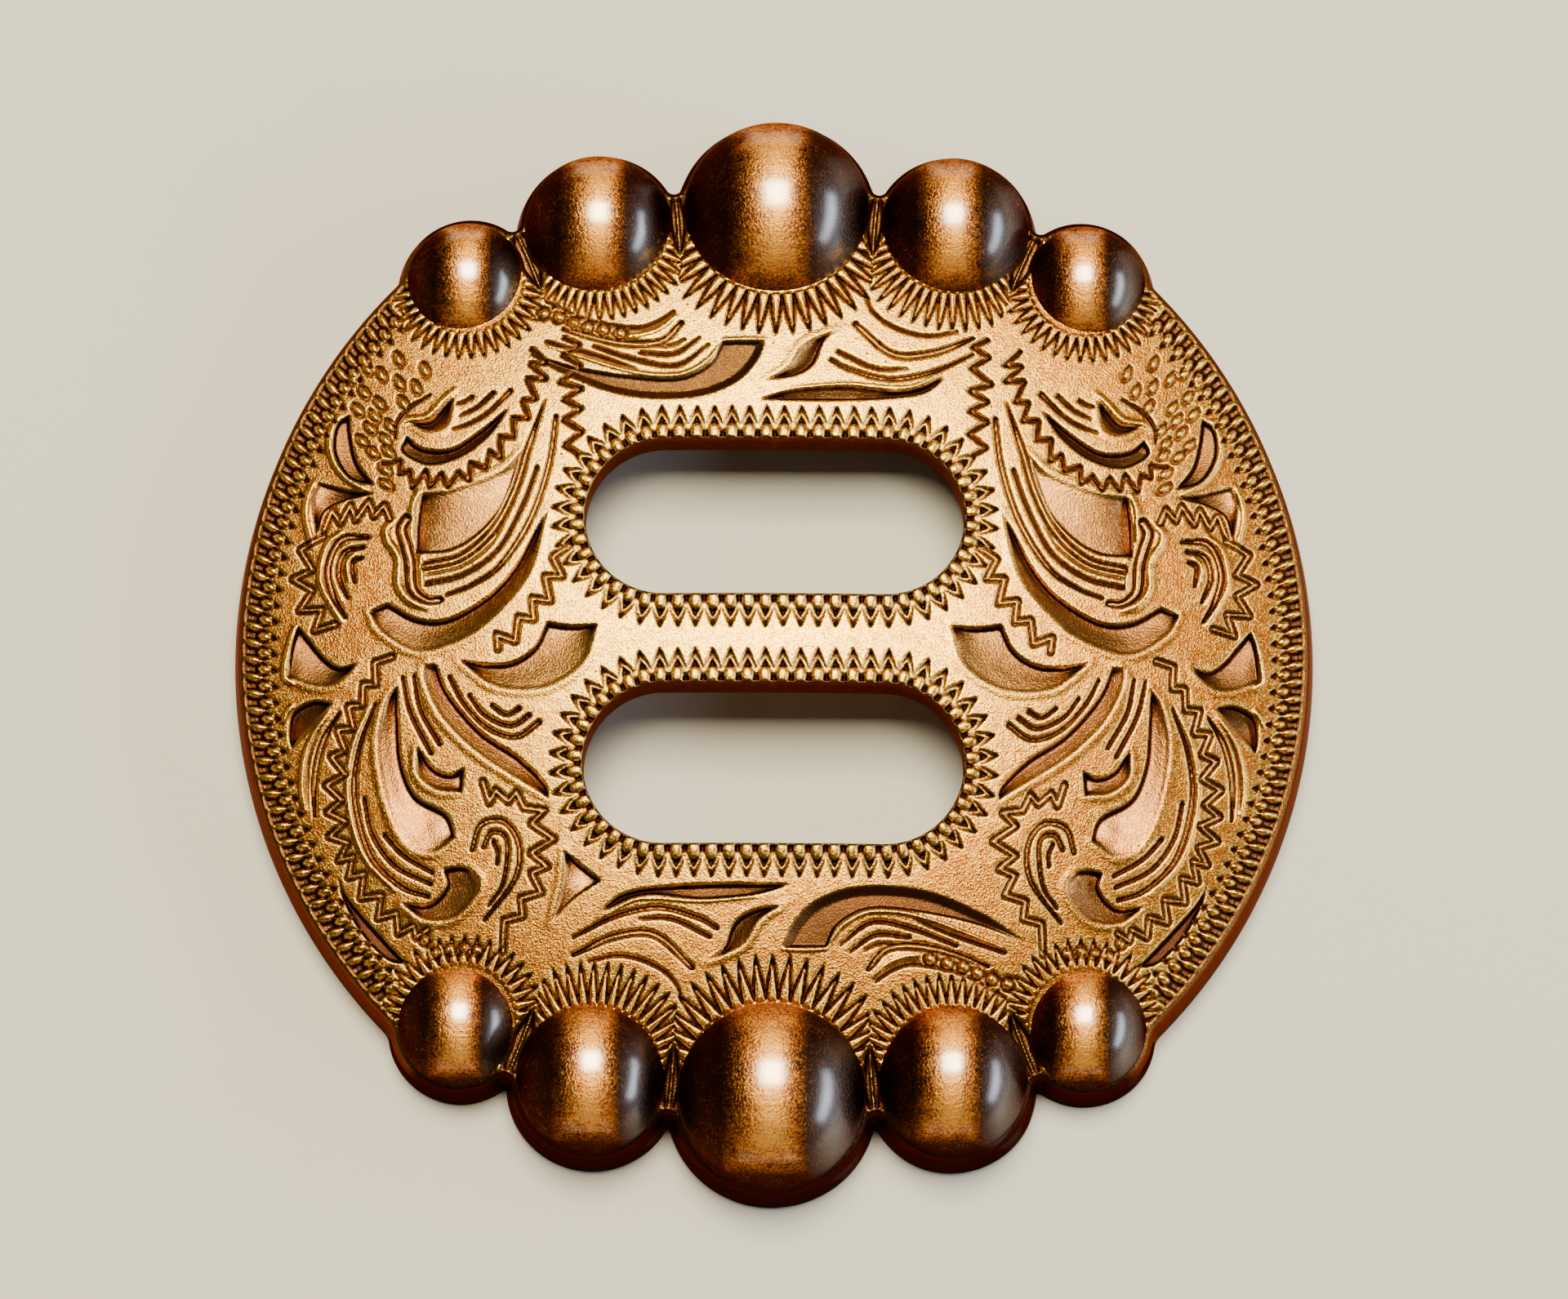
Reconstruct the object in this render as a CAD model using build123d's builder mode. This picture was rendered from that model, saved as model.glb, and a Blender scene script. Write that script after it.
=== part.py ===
"""Round slotted concho: one casting with a domed, engraved face, two strap slots and ten berries."""

import os
from math import acos, atan2, cos, degrees, hypot, pi, radians, sin

from build123d import *

# Driving dimensions, in millimetres
disc_diameter = 38.1
crown_height = 4.6
rim_height = 1.7
middle_wall = 1.9
foot_width = 1.7
edge_draft = 8
edge_round = 0.45

# Strap slots, long way across the face, one above the other
slot_length = 13.3
slot_width = 5.6
slot_spacing = 8.8

# Berries of one edge, from the middle one outwards
# Columns: radius, inset of its centre from the disc's edge, gap to the berry before, centre height
berries = [
    (3.35, 3.3, 0.0, 1.9),
    (2.65, 2.6, 0.31, 1.9),
    (2.2, 1.85, 0.15, 1.4),
]
lobe_margin = 0.35
lobe_fillet = 0.15

# Depth of the engraving below the face
pocket_depth = 0.3
groove_depth = 0.18
tooth_depth = 0.2

# Toothed border round each slot and along the rim
tooth_pitch = 0.61
tooth_reach = 1.25
tooth_width = 0.42
bead_reach = 0.68
bead_gap = 0.14
border_margin = 0.06
rim_margin = 0.55
rim_half_angle = 41

# Flutes that ray out over the face round each berry
flute_pitch = 0.6
flute_width = 0.24
flute_start = 0.3
flute_reach = 1.4
flute_spread = 96

disc_radius = disc_diameter / 2
dome_rise = crown_height - rim_height
dome_radius = (disc_radius**2 + dome_rise**2) / (2 * dome_rise)
dome_centre = crown_height - dome_radius

# The hollow in the back is a shallow cap that leaves a flat foot all round
hollow_reach = disc_radius - foot_width
hollow_rise = crown_height - middle_wall
hollow_radius = (hollow_reach**2 + hollow_rise**2) / (2 * hollow_rise)
hollow_centre = hollow_rise - hollow_radius

# The engraving is laid out by eye on a square grid, this many squares across the disc
grid_squares = 38
grid = disc_diameter / grid_squares

# Pockets of the right-hand side, which the left-hand side mirrors
# Each is a closed outline in grid squares: a list of sides that run from corner to corner
side_pockets = {
    "big_leaf": [
        [(8.85, 6.9), (9.7, 6.1), (11.2, 5.5), (12.4, 5.35)],
        [(12.4, 5.35), (12.55, 4.4), (12.58, 3.35)],
        [(12.58, 3.35), (11.4, 3.35), (10.4, 3.8), (9.5, 4.9), (8.85, 6.9)],
    ],
    "under_crescent": [
        [(7.95, 4.7), (8.4, 3.9), (9.1, 2.6), (10.0, 1.6), (11.4, 0.82), (12.5, 0.85), (13.55, 1.45)],
        [(13.55, 1.45), (14.25, 1.15)],
        [(14.25, 1.15), (13.8, 0.35), (12.5, -0.4), (11.0, -0.05), (9.8, 0.75), (8.5, 2.4), (7.95, 4.7)],
    ],
    "horn": [
        [(6.15, 0.5), (7.1, 0.47), (7.95, 0.6)],
        [(7.95, 0.6), (8.4, -0.3), (9.2, -0.8), (10.2, -0.83), (11.1, -0.65)],
        [(11.1, -0.65), (9.8, -1.7), (8.0, -1.8), (6.6, -0.9), (6.15, 0.5)],
    ],
    "small_leaf_crescent": [
        [(9.35, 8.5), (10.3, 7.7), (11.4, 7.0), (12.4, 7.05), (13.0, 7.5)],
        [(13.0, 7.5), (13.15, 6.95), (12.2, 6.42), (11.0, 6.7), (10.0, 7.5), (9.35, 8.5)],
    ],
    "droplet": [
        [(11.3, 8.95), (11.8, 8.4), (12.2, 8.05), (12.95, 7.97)],
        [(12.95, 7.97), (12.2, 7.57), (11.5, 7.85), (11.3, 8.95)],
    ],
    "rim_crescent": [
        [(15.05, 8.4), (14.95, 7.6), (14.7, 6.6), (14.1, 5.75)],
        [(14.1, 5.75), (15.0, 6.05), (15.55, 7.0), (15.5, 8.0), (15.05, 8.4)],
    ],
    "upper_fan": [
        [(14.1, 5.45), (15.0, 5.6), (16.15, 5.95)],
        [(16.15, 5.95), (16.4, 5.2), (16.1, 3.65)],
        [(16.1, 3.65), (15.9, 4.75), (15.2, 5.2), (14.1, 5.45)],
    ],
    "middle_fan": [
        [(14.6, -0.65), (15.2, -0.8), (15.75, -0.45), (16.25, 0.15), (16.75, 0.75)],
        [(16.75, 0.75), (16.95, 0.0), (17.05, -1.1)],
        [(17.05, -1.1), (16.3, -1.45), (15.5, -1.5), (14.9, -1.1), (14.6, -0.65)],
    ],
    "lower_fan": [
        [(15.45, -2.05), (16.15, -1.95), (16.85, -2.3), (17.0, -3.0), (16.9, -3.65)],
        [(16.9, -3.65), (16.3, -3.1), (15.8, -2.55), (15.45, -2.05)],
    ],
    "swelling_plume": [
        [(13.2, -1.5), (13.12, -2.8), (13.0, -4.2), (12.5, -5.4), (11.4, -6.1), (11.08, -6.95)],
        [(11.08, -6.95), (11.9, -7.5), (12.9, -7.1), (13.6, -5.6), (13.95, -3.6), (13.2, -1.5)],
    ],
    "hook": [
        [(10.8, -4.5), (11.3, -4.7), (11.9, -4.45), (12.5, -3.65)],
        [(12.5, -3.65), (12.5, -4.7), (11.8, -5.3), (10.87, -5.38)],
        [(10.87, -5.38), (10.8, -4.5)],
    ],
    "long_leaf": [
        [(11.85, -0.78), (11.35, -1.9), (10.2, -3.25), (8.9, -4.15), (8.0, -5.05), (7.82, -5.66)],
        [(7.82, -5.66), (9.2, -4.85), (10.5, -3.95), (11.7, -2.7), (12.3, -1.4), (12.3, -0.75)],
        [(12.3, -0.75), (11.85, -0.78)],
    ],
    "lower_crescent": [
        [(10.55, -8.0), (11.0, -7.93), (11.5, -8.0)],
        [(11.5, -8.0), (11.4, -8.6), (12.0, -9.2), (13.0, -9.15)],
        [(13.0, -9.15), (12.2, -9.8), (11.1, -9.78), (10.3, -9.0), (10.2, -8.4), (10.55, -8.0)],
    ],
    "dark_lens": [
        [(15.25, -8.1), (14.85, -8.9), (13.9, -10.0), (12.75, -11.25)],
        [(12.75, -11.25), (13.5, -11.05), (14.4, -10.1), (15.0, -9.0), (15.25, -8.1)],
    ],
}

# Pockets of the bottom panel; the top panel is the same one turned half round
panel_pockets = {
    "long_lens": [
        [(-6.0, -9.6), (-5.2, -8.95), (-3.6, -8.7), (-1.5, -8.62), (0.6, -8.65)],
        [(0.6, -8.65), (-0.6, -9.0), (-2.5, -9.15), (-4.5, -9.02), (-6.0, -9.6)],
    ],
    "wing": [
        [(-2.35, -11.35), (-1.7, -10.85), (-1.35, -10.0), (-0.7, -9.55), (0.4, -9.35)],
        [(0.4, -9.35), (-0.4, -9.9), (-1.0, -10.8), (-2.35, -11.35)],
    ],
    "great_crescent": [
        [(0.35, -10.8), (0.7, -10.0), (1.5, -9.2), (3.0, -8.7), (5.2, -8.78), (7.2, -9.5), (8.95, -10.55)],
        [(8.95, -10.55), (7.2, -9.95), (5.2, -9.55), (3.4, -9.45), (2.3, -10.0), (1.9, -10.78)],
        [(1.9, -10.78), (0.35, -10.8)],
    ],
}

# A three-cornered pocket that only the lower left has
corner_pocket = [
    [(-7.3, -7.45), (-5.98, -8.5)],
    [(-5.98, -8.5), (-6.95, -9.15), (-7.75, -10.0)],
    [(-7.75, -10.0), (-7.45, -8.7), (-7.3, -7.45)],
]

# Grooves of the right-hand side: widest width, then the middle line, both in grid squares
side_grooves = {
    "leaf_inner_comb": (
        0.32, [(8.12, 8.6), (8.7, 6.9), (9.15, 5.4), (9.9, 3.95), (11.0, 3.0), (12.25, 2.78)],
    ),
    "leaf_middle_comb": (0.17, [(8.37, 6.2), (8.85, 4.85), (9.7, 3.25), (10.9, 2.38), (12.2, 2.08)]),
    "leaf_outer_comb": (
        0.2, [(7.72, 8.05), (7.95, 6.3), (8.57, 4.35), (9.6, 2.7), (10.6, 2.0), (11.5, 1.66)],
    ),
    "lobe_channel": (
        0.38, [(11.7, 1.5), (12.2, 1.5), (12.75, 2.0), (12.83, 3.0), (13.15, 3.8), (12.95, 4.5)],
    ),
    "small_comb_1": (0.17, [(9.35, 9.05), (10.1, 8.3), (10.7, 7.92), (11.35, 7.7)]),
    "small_comb_2": (0.17, [(9.95, 9.0), (10.5, 8.5), (11.1, 8.2)]),
    "small_leaf_back": (0.18, [(12.2, 9.0), (13.0, 8.5), (13.35, 8.0), (13.4, 7.45)]),
    "arc_outer": (0.24, [(14.3, 3.85), (15.25, 3.8), (15.7, 2.8), (15.5, 1.8), (15.05, 1.0)]),
    "arc_middle": (0.2, [(14.45, 3.5), (15.1, 3.35), (15.32, 2.6), (15.0, 1.7)]),
    "arc_inner": (0.18, [(14.5, 3.12), (14.82, 2.95), (14.75, 2.25)]),
    "scroll_outer": (0.18, [(8.2, -2.95), (9.0, -3.45), (10.0, -3.1), (10.85, -2.2), (11.35, -1.28)]),
    "scroll_middle": (0.17, [(8.55, -2.7), (9.2, -3.05), (10.1, -2.65), (10.65, -1.95)]),
    "scroll_inner": (0.16, [(8.9, -2.45), (9.35, -2.66), (9.85, -2.33)]),
    "plume_comb_1": (0.17, [(12.6, -1.2), (12.35, -2.4), (11.68, -3.62)]),
    "plume_comb_2": (0.17, [(13.0, -1.25), (12.7, -2.5), (11.98, -3.93)]),
    "plume_arc_outer": (0.2, [(13.95, -2.15), (14.5, -3.7), (14.65, -5.4), (14.1, -7.4), (12.05, -8.93)]),
    "plume_arc_middle": (0.18, [(14.3, -5.5), (14.0, -6.75), (13.2, -7.85), (11.95, -8.5)]),
    "plume_arc_inner": (0.17, [(13.57, -6.78), (12.9, -7.5), (11.9, -8.1)]),
    "rim_leaf": (0.24, [(15.2, -2.4), (15.8, -3.4), (16.08, -4.7), (16.05, -6.0)]),
    "cane_outer": (
        0.19, [(10.5, -7.35), (10.2, -6.5), (9.4, -6.4), (8.87, -7.2), (9.0, -8.4), (10.05, -9.8)],
    ),
    "cane_middle": (0.17, [(10.1, -7.25), (9.8, -6.75), (9.28, -7.05), (9.4, -8.5), (9.9, -9.3)]),
    "cane_inner": (0.17, [(9.75, -7.1), (9.6, -7.45), (9.62, -7.85)]),
}

# Grooves of the bottom panel, in the same columns
panel_grooves = {
    "left_comb_1": (0.18, [(-6.95, -10.45), (-5.5, -9.75), (-4.0, -9.45), (-2.6, -9.8), (-1.95, -10.15)]),
    "left_comb_2": (0.16, [(-4.65, -9.85), (-3.5, -9.85), (-2.2, -10.45)]),
    "left_comb_3": (0.26, [(-6.95, -11.05), (-5.5, -10.45), (-4.1, -10.4), (-2.8, -11.5)]),
    "right_comb_1": (0.17, [(2.37, -10.7), (3.5, -9.92), (5.0, -10.17), (6.4, -10.67)]),
    "right_comb_2": (0.17, [(4.9, -9.85), (6.4, -10.42), (7.9, -10.95)]),
    "right_comb_3": (0.17, [(2.7, -10.95), (3.6, -10.35), (4.75, -10.42)]),
    "berry_arc": (0.28, [(3.35, -11.5), (4.1, -10.8), (5.6, -10.8), (7.5, -11.35)]),
}


def as_is(x, y):
    """A point of the grid, in millimetres."""
    return (grid * x, grid * y)


def mirrored(x, y):
    """The point across the middle line of the face."""
    return (-grid * x, grid * y)


def turned(x, y):
    """The point after half a turn of the face."""
    return (-grid * x, -grid * y)


def berry_places():
    """Every berry of both edges as (x, y, radius, centre height)."""
    places = []
    angle = 0
    before = None
    for radius, inset, gap, height in berries:
        distance = disc_radius - inset
        if before:
            apart = before[0] + radius + gap
            angle += acos((before[1] ** 2 + distance**2 - apart**2) / (2 * before[1] * distance))
        for side in (-1, 1) if before else (1,):
            for edge in (-1, 1):
                places.append((side * distance * sin(angle), edge * distance * cos(angle), radius, height))
        before = (radius, distance)
    return places


def plate_corners():
    """Corners of the plate before its lobes: the berries' centres, and a far point past each end berry."""
    corners = []
    for edge in (1, -1):
        row = sorted((x, y) for x, y, radius, height in berry_places() if y * edge > 0)
        beyond = [(2 * x, 2 * y) for x, y in (row[0], row[-1])]
        corners += [beyond[0], *row, beyond[1]][::edge]
    return corners


def outline(sides, place):
    """A closed face whose sides run smoothly through their points."""
    with BuildLine() as edge:
        for side in sides:
            points = [place(x, y) for x, y in side]
            if len(points) == 2:
                Line(*points)
            else:
                Spline(*points)
    make_face(edge.edges())


def groove(width, line, place):
    """A slim closed face that swells to its width in the middle and is pointed at both ends."""
    points = [place(x, y) for x, y in line]
    left = [points[0]]
    right = [points[0]]
    for before, point, after in zip(points, points[1:], points[2:]):
        along = (after[0] - before[0], after[1] - before[1])
        reach = grid * width / 2 / hypot(*along)
        left.append((point[0] - reach * along[1], point[1] + reach * along[0]))
        right.append((point[0] + reach * along[1], point[1] - reach * along[0]))
    left.append(points[-1])
    right.append(points[-1])
    with BuildLine() as edge:
        Spline(*left)
        Spline(*right)
    make_face(edge.edges())


def slot_edge_places(margin):
    """Evenly spaced places round a slot at a margin outside its edge, each turned to face outwards."""
    straight = slot_length - slot_width
    radius = slot_width / 2 + margin
    bend = pi * radius
    count = 2 * round((straight + bend) / tooth_pitch)
    places = []
    for number in range(count):
        run = (number + 0.5) * 2 * (straight + bend) / count
        far_side = run > straight + bend
        if far_side:
            run -= straight + bend
        turn = max(0, run - straight) / radius
        x = min(run, straight) - straight / 2 + radius * sin(turn)
        y = radius * cos(turn)
        place = Location((x, y), -degrees(turn))
        places.append(Location((0, 0), 180) * place if far_side else place)
    return places


def tooth():
    """The notch of one tooth, pointing along +Y from the edge it stands on."""
    Polygon((-tooth_width / 2, bead_reach), (tooth_width / 2, bead_reach), (0, tooth_reach), align=None)


def bead_notch():
    """The notch between two beads, half a pitch beside a tooth."""
    middle = tooth_pitch / 2
    Polygon((middle - bead_gap / 2, 0), (middle + bead_gap / 2, 0), (middle, bead_reach), align=None)


def sunk(depth):
    """Leave only the part of a tall cutter that reaches this far below the domed face."""
    with Locations((0, 0, dome_centre)):
        Sphere(dome_radius - depth, mode=Mode.SUBTRACT)


# Cutters for the engraving, as tall as the face and stopped at their depth below it
with BuildPart() as pockets:
    with BuildSketch():
        for sides in side_pockets.values():
            outline(sides, as_is)
            outline(sides, mirrored)
        for sides in panel_pockets.values():
            outline(sides, as_is)
            outline(sides, turned)
        outline(corner_pocket, as_is)
    extrude(amount=crown_height)
    sunk(pocket_depth)

with BuildPart() as grooves:
    with BuildSketch():
        for width, line in side_grooves.values():
            groove(width, line, as_is)
            groove(width, line, mirrored)
        for width, line in panel_grooves.values():
            groove(width, line, as_is)
            groove(width, line, turned)
    extrude(amount=crown_height)
    sunk(groove_depth)

with BuildPart() as borders:
    rim_radius = disc_radius - rim_margin
    rim_count = round(2 * radians(rim_half_angle) * rim_radius / tooth_pitch)
    with BuildSketch():
        for slot in (-slot_spacing / 2, slot_spacing / 2):
            with Locations(*[Location((0, slot)) * place for place in slot_edge_places(border_margin)]):
                tooth()
                bead_notch()
        for middle in (0, 180):
            with PolarLocations(rim_radius, rim_count, middle - rim_half_angle, 2 * rim_half_angle):
                with Locations(Location((0, 0), 90)):
                    tooth()
                    bead_notch()
    extrude(amount=crown_height)
    sunk(tooth_depth)

with BuildPart() as collars:
    with BuildSketch():
        for x, y, radius, height in berry_places():
            inner = radius + flute_start
            outer = radius + flute_reach
            inwards = degrees(atan2(-y, -x))
            count = round(radians(flute_spread) * inner / flute_pitch)
            with Locations((x, y)):
                with PolarLocations(0, count, inwards - flute_spread / 2, flute_spread):
                    Polygon((inner, -flute_width / 2), (inner, flute_width / 2), (outer, 0), align=None)
    extrude(amount=crown_height)
    sunk(tooth_depth)

# The casting: a disc with a lobe under each berry, domed above, hollowed behind, slotted and engraved
# Between its berries the plate reaches no further than the lines that join their centres
with BuildPart() as concho:
    with BuildSketch():
        Circle(disc_radius)
        Polygon(*plate_corners(), align=None, mode=Mode.INTERSECT)
        for x, y, radius, height in berry_places():
            with Locations((x, y)):
                Circle(radius + lobe_margin)
        fillet(vertices(), radius=lobe_fillet)
    extrude(amount=crown_height, taper=edge_draft)
    with Locations((0, 0, dome_centre)):
        Sphere(dome_radius, mode=Mode.INTERSECT)
    fillet(faces().sort_by(Axis.Z)[-1].outer_wire().edges(), radius=edge_round)
    for x, y, radius, height in berry_places():
        with Locations((x, y, height)):
            Sphere(radius)
    split(bisect_by=Plane.XY, keep=Keep.TOP)
    with Locations((0, 0, hollow_centre)):
        Sphere(hollow_radius, mode=Mode.SUBTRACT)
    with BuildSketch():
        with GridLocations(0, slot_spacing, 1, 2):
            SlotOverall(slot_length, slot_width)
    extrude(amount=crown_height, mode=Mode.SUBTRACT)
    add([cutter.part for cutter in (pockets, grooves, borders, collars)], mode=Mode.SUBTRACT)

concho.part.label = "concho"
os.makedirs("parts", exist_ok=True)
export_step(concho.part, "parts/concho.step")
print(f"concho volume {concho.part.volume:.1f} mm3, solids {len(concho.part.solids())}")
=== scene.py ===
"""Round slotted concho in antiqued copper: one engraved casting with ten berries, lying on a pale floor."""

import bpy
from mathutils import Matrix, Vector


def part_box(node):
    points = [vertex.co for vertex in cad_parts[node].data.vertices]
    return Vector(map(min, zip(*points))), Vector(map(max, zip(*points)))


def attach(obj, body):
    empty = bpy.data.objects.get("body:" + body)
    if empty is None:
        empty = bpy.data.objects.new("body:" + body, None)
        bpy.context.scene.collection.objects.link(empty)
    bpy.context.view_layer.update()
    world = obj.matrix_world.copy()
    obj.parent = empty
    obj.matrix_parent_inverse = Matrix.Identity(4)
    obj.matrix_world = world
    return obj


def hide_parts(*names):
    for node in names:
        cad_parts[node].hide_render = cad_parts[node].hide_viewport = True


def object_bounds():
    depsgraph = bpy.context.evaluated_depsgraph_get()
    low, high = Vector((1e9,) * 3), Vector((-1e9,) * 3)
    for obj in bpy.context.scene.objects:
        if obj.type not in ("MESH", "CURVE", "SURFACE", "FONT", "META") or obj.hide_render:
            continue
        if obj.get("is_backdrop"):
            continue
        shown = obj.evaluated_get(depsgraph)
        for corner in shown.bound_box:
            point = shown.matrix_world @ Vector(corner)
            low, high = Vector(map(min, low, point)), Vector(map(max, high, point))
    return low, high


bl_info = {
    "name": "Engraved Slotted Concho",
    "version": (1, 0, 0),
    "blender": (4, 5, 0),
    "location": "3D View > Sidebar > Concho",
    "description": "Engraved face, brushed berries, antiqued copper and a studio for a packed concho",
    "category": "Add Mesh",
}

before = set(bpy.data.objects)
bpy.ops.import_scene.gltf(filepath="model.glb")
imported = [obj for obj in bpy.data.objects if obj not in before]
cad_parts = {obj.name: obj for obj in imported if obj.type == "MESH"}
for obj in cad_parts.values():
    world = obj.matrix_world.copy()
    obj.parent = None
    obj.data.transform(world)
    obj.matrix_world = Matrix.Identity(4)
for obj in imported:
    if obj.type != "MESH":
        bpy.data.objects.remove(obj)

from math import acos, atan2, ceil, cos, pi, radians, sin

import bmesh
import bpy
import numpy as np
from bpy.props import FloatProperty, FloatVectorProperty, IntProperty, PointerProperty
from bpy.types import Operator, Panel, PropertyGroup
from mathutils import Matrix, Vector, geometry

CAD_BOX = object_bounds()
NODE = "concho"
BODY = "root"

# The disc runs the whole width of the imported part, and the drawing of its face is in shares of that
DISC_MM = 38.1
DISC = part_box(NODE)[1].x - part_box(NODE)[0].x
MM = DISC / DISC_MM
RADIUS = DISC / MM / 2

# Both in millimetres: the rounding of the slots' upper edges, and the step that slopes are measured over
SLOT_ROUND = 0.1
SLOPE_STEP = 1e-4

# How far the outer wall leans out on its way down, as a share of its height
WALL_DRAFT = 0.14

# How a side of a pocket meets the face: depth of the floor along it, and width of its wall
SIDES = {
    "steep": (0.34, 0.08),
    "low": (0.16, 0.06),
    "soft": (0.24, 0.30),
    "fades": (0.02, 0.16),
}

# Pockets of the right-hand side, which the left-hand side mirrors
# Each is a closed outline: rows of how the side meets the face, and the points that it runs through
SIDE_POCKETS = {
    "big_leaf": [
        ("fades", [(8.85, 6.9), (9.7, 6.15), (11.2, 5.6), (12.4, 5.4)]),
        ("steep", [(12.4, 5.4), (12.55, 4.4), (12.58, 3.35)]),
        ("low", [(12.58, 3.2), (11.4, 3.25), (10.4, 3.8), (9.5, 4.9), (8.85, 6.9)]),
    ],
    "under_crescent": [
        ("steep", [
            (7.95, 4.7), (8.4, 3.9), (9.1, 2.6), (10.0, 1.6), (11.4, 0.82), (12.5, 0.85), (13.55, 1.45),
        ]),
        ("steep", [(13.55, 1.45), (14.25, 1.15)]),
        ("fades", [
            (14.25, 1.15), (13.8, 0.35), (12.5, -0.4), (11.0, -0.05), (9.8, 0.75), (8.5, 2.4),
            (7.95, 4.7),
        ]),
    ],
    "horn": [
        ("steep", [(6.15, 0.5), (7.1, 0.47), (7.95, 0.6)]),
        ("steep", [(7.95, 0.6), (8.4, -0.3), (9.2, -0.8), (10.2, -0.83), (11.1, -0.65)]),
        ("fades", [(11.1, -0.65), (9.8, -1.7), (8.0, -1.8), (6.6, -0.9), (6.15, 0.5)]),
    ],
    "small_leaf_crescent": [
        ("steep", [(9.35, 8.5), (10.3, 7.7), (11.4, 7.0), (12.4, 7.05), (13.0, 7.5)]),
        ("low", [(13.0, 7.5), (13.15, 6.95), (12.2, 6.42), (11.0, 6.7), (10.0, 7.5), (9.35, 8.5)]),
    ],
    "droplet": [
        ("steep", [(11.3, 8.95), (11.8, 8.4), (12.2, 8.05), (12.95, 7.97)]),
        ("fades", [(12.95, 7.97), (12.2, 7.57), (11.5, 7.85), (11.3, 8.95)]),
    ],
    "rim_crescent": [
        ("steep", [(15.05, 8.4), (14.95, 7.6), (14.7, 6.6), (14.1, 5.75)]),
        ("low", [(14.1, 5.75), (15.0, 6.05), (15.55, 7.0), (15.5, 8.0), (15.05, 8.4)]),
    ],
    "upper_fan": [
        ("low", [(14.1, 5.45), (15.0, 5.6), (16.15, 5.95)]),
        ("fades", [(16.15, 5.95), (16.4, 5.2), (16.1, 3.65)]),
        ("steep", [(16.1, 3.65), (15.9, 4.75), (15.2, 5.2), (14.1, 5.45)]),
    ],
    "middle_fan": [
        ("steep", [(14.6, -0.65), (15.2, -0.8), (15.75, -0.45), (16.25, 0.15), (16.75, 0.75)]),
        ("low", [(16.75, 0.75), (16.95, 0.0), (17.05, -1.1)]),
        ("fades", [(17.05, -1.1), (16.3, -1.45), (15.5, -1.5), (14.9, -1.1), (14.6, -0.65)]),
    ],
    "lower_fan": [
        ("steep", [(15.45, -2.05), (16.15, -1.95), (16.85, -2.3), (17.0, -3.0), (16.9, -3.65)]),
        ("fades", [(16.9, -3.65), (16.3, -3.1), (15.8, -2.55), (15.45, -2.05)]),
    ],
    "swelling_plume": [
        ("steep", [(13.2, -1.5), (13.12, -2.8), (13.0, -4.2), (12.5, -5.4), (11.4, -6.1), (11.08, -6.95)]),
        ("fades", [
            (11.08, -6.95), (11.9, -7.5), (12.9, -7.1), (13.6, -5.6), (13.95, -3.6), (13.65, -2.1),
            (13.2, -1.5),
        ]),
    ],
    "hook": [
        ("steep", [(10.8, -4.5), (11.3, -4.7), (11.9, -4.45), (12.5, -3.65)]),
        ("fades", [(12.5, -3.65), (12.5, -4.7), (11.8, -5.3), (10.87, -5.38)]),
        ("steep", [(10.87, -5.38), (10.8, -4.5)]),
    ],
    "long_leaf": [
        ("steep", [
            (11.85, -0.78), (11.35, -1.9), (10.2, -3.25), (8.9, -4.15), (8.0, -5.05), (7.82, -5.66),
        ]),
        ("fades", [(7.82, -5.66), (9.2, -4.85), (10.5, -3.95), (11.7, -2.7), (12.3, -1.4), (12.3, -0.75)]),
        ("fades", [(12.3, -0.75), (11.85, -0.78)]),
    ],
    "lower_crescent": [
        ("steep", [(10.55, -8.0), (11.0, -7.93), (11.5, -8.0)]),
        ("steep", [(11.5, -8.0), (11.4, -8.6), (12.0, -9.2), (13.0, -9.15)]),
        ("fades", [(13.0, -9.15), (12.2, -9.8), (11.1, -9.78), (10.3, -9.0), (10.2, -8.4), (10.55, -8.0)]),
    ],
    "dark_lens": [
        ("steep", [(15.25, -8.1), (14.85, -8.9), (13.9, -10.0), (12.75, -11.25)]),
        ("low", [(12.75, -11.25), (13.5, -11.05), (14.4, -10.1), (15.0, -9.0), (15.25, -8.1)]),
    ],
}

# Pockets of the bottom panel, which the top panel repeats after half a turn
PANEL_POCKETS = {
    "long_lens": [
        ("steep", [(-6.0, -9.6), (-5.2, -8.95), (-3.6, -8.7), (-1.5, -8.62), (0.6, -8.65)]),
        ("low", [(0.6, -8.65), (-0.6, -9.0), (-2.5, -9.15), (-4.5, -9.02), (-6.0, -9.6)]),
    ],
    "wing": [
        ("steep", [(-2.35, -11.35), (-1.7, -10.85), (-1.35, -10.0), (-0.7, -9.55), (0.4, -9.35)]),
        ("fades", [(0.4, -9.35), (-0.4, -9.9), (-1.0, -10.8), (-2.35, -11.35)]),
    ],
    "great_crescent": [
        ("soft", [
            (0.35, -10.8), (0.7, -10.0), (1.5, -9.2), (3.0, -8.7), (5.2, -8.78), (7.2, -9.5),
            (8.95, -10.55),
        ]),
        ("low", [(8.95, -10.55), (7.2, -9.95), (5.2, -9.55), (3.4, -9.45), (2.3, -10.0), (1.9, -10.78)]),
        ("low", [(1.9, -10.78), (0.35, -10.8)]),
    ],
}

# Pockets whose floors kept some of the near-black antiquing, and how much
DULL_FLOORS = {
    "great_crescent": 0.84, "long_lens": 0.7, "wing": 0.75, "dark_lens": 0.95, "small_leaf_crescent": 0.7,
    "droplet": 0.45, "rim_crescent": 0.55, "middle_fan": 0.5, "lower_fan": 0.5, "lower_crescent": 0.35,
    "under_crescent": 0.2, "hook": 0.25, "long_leaf": 0.25, "horn": 0.15, "upper_fan": 0.2,
}

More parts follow.
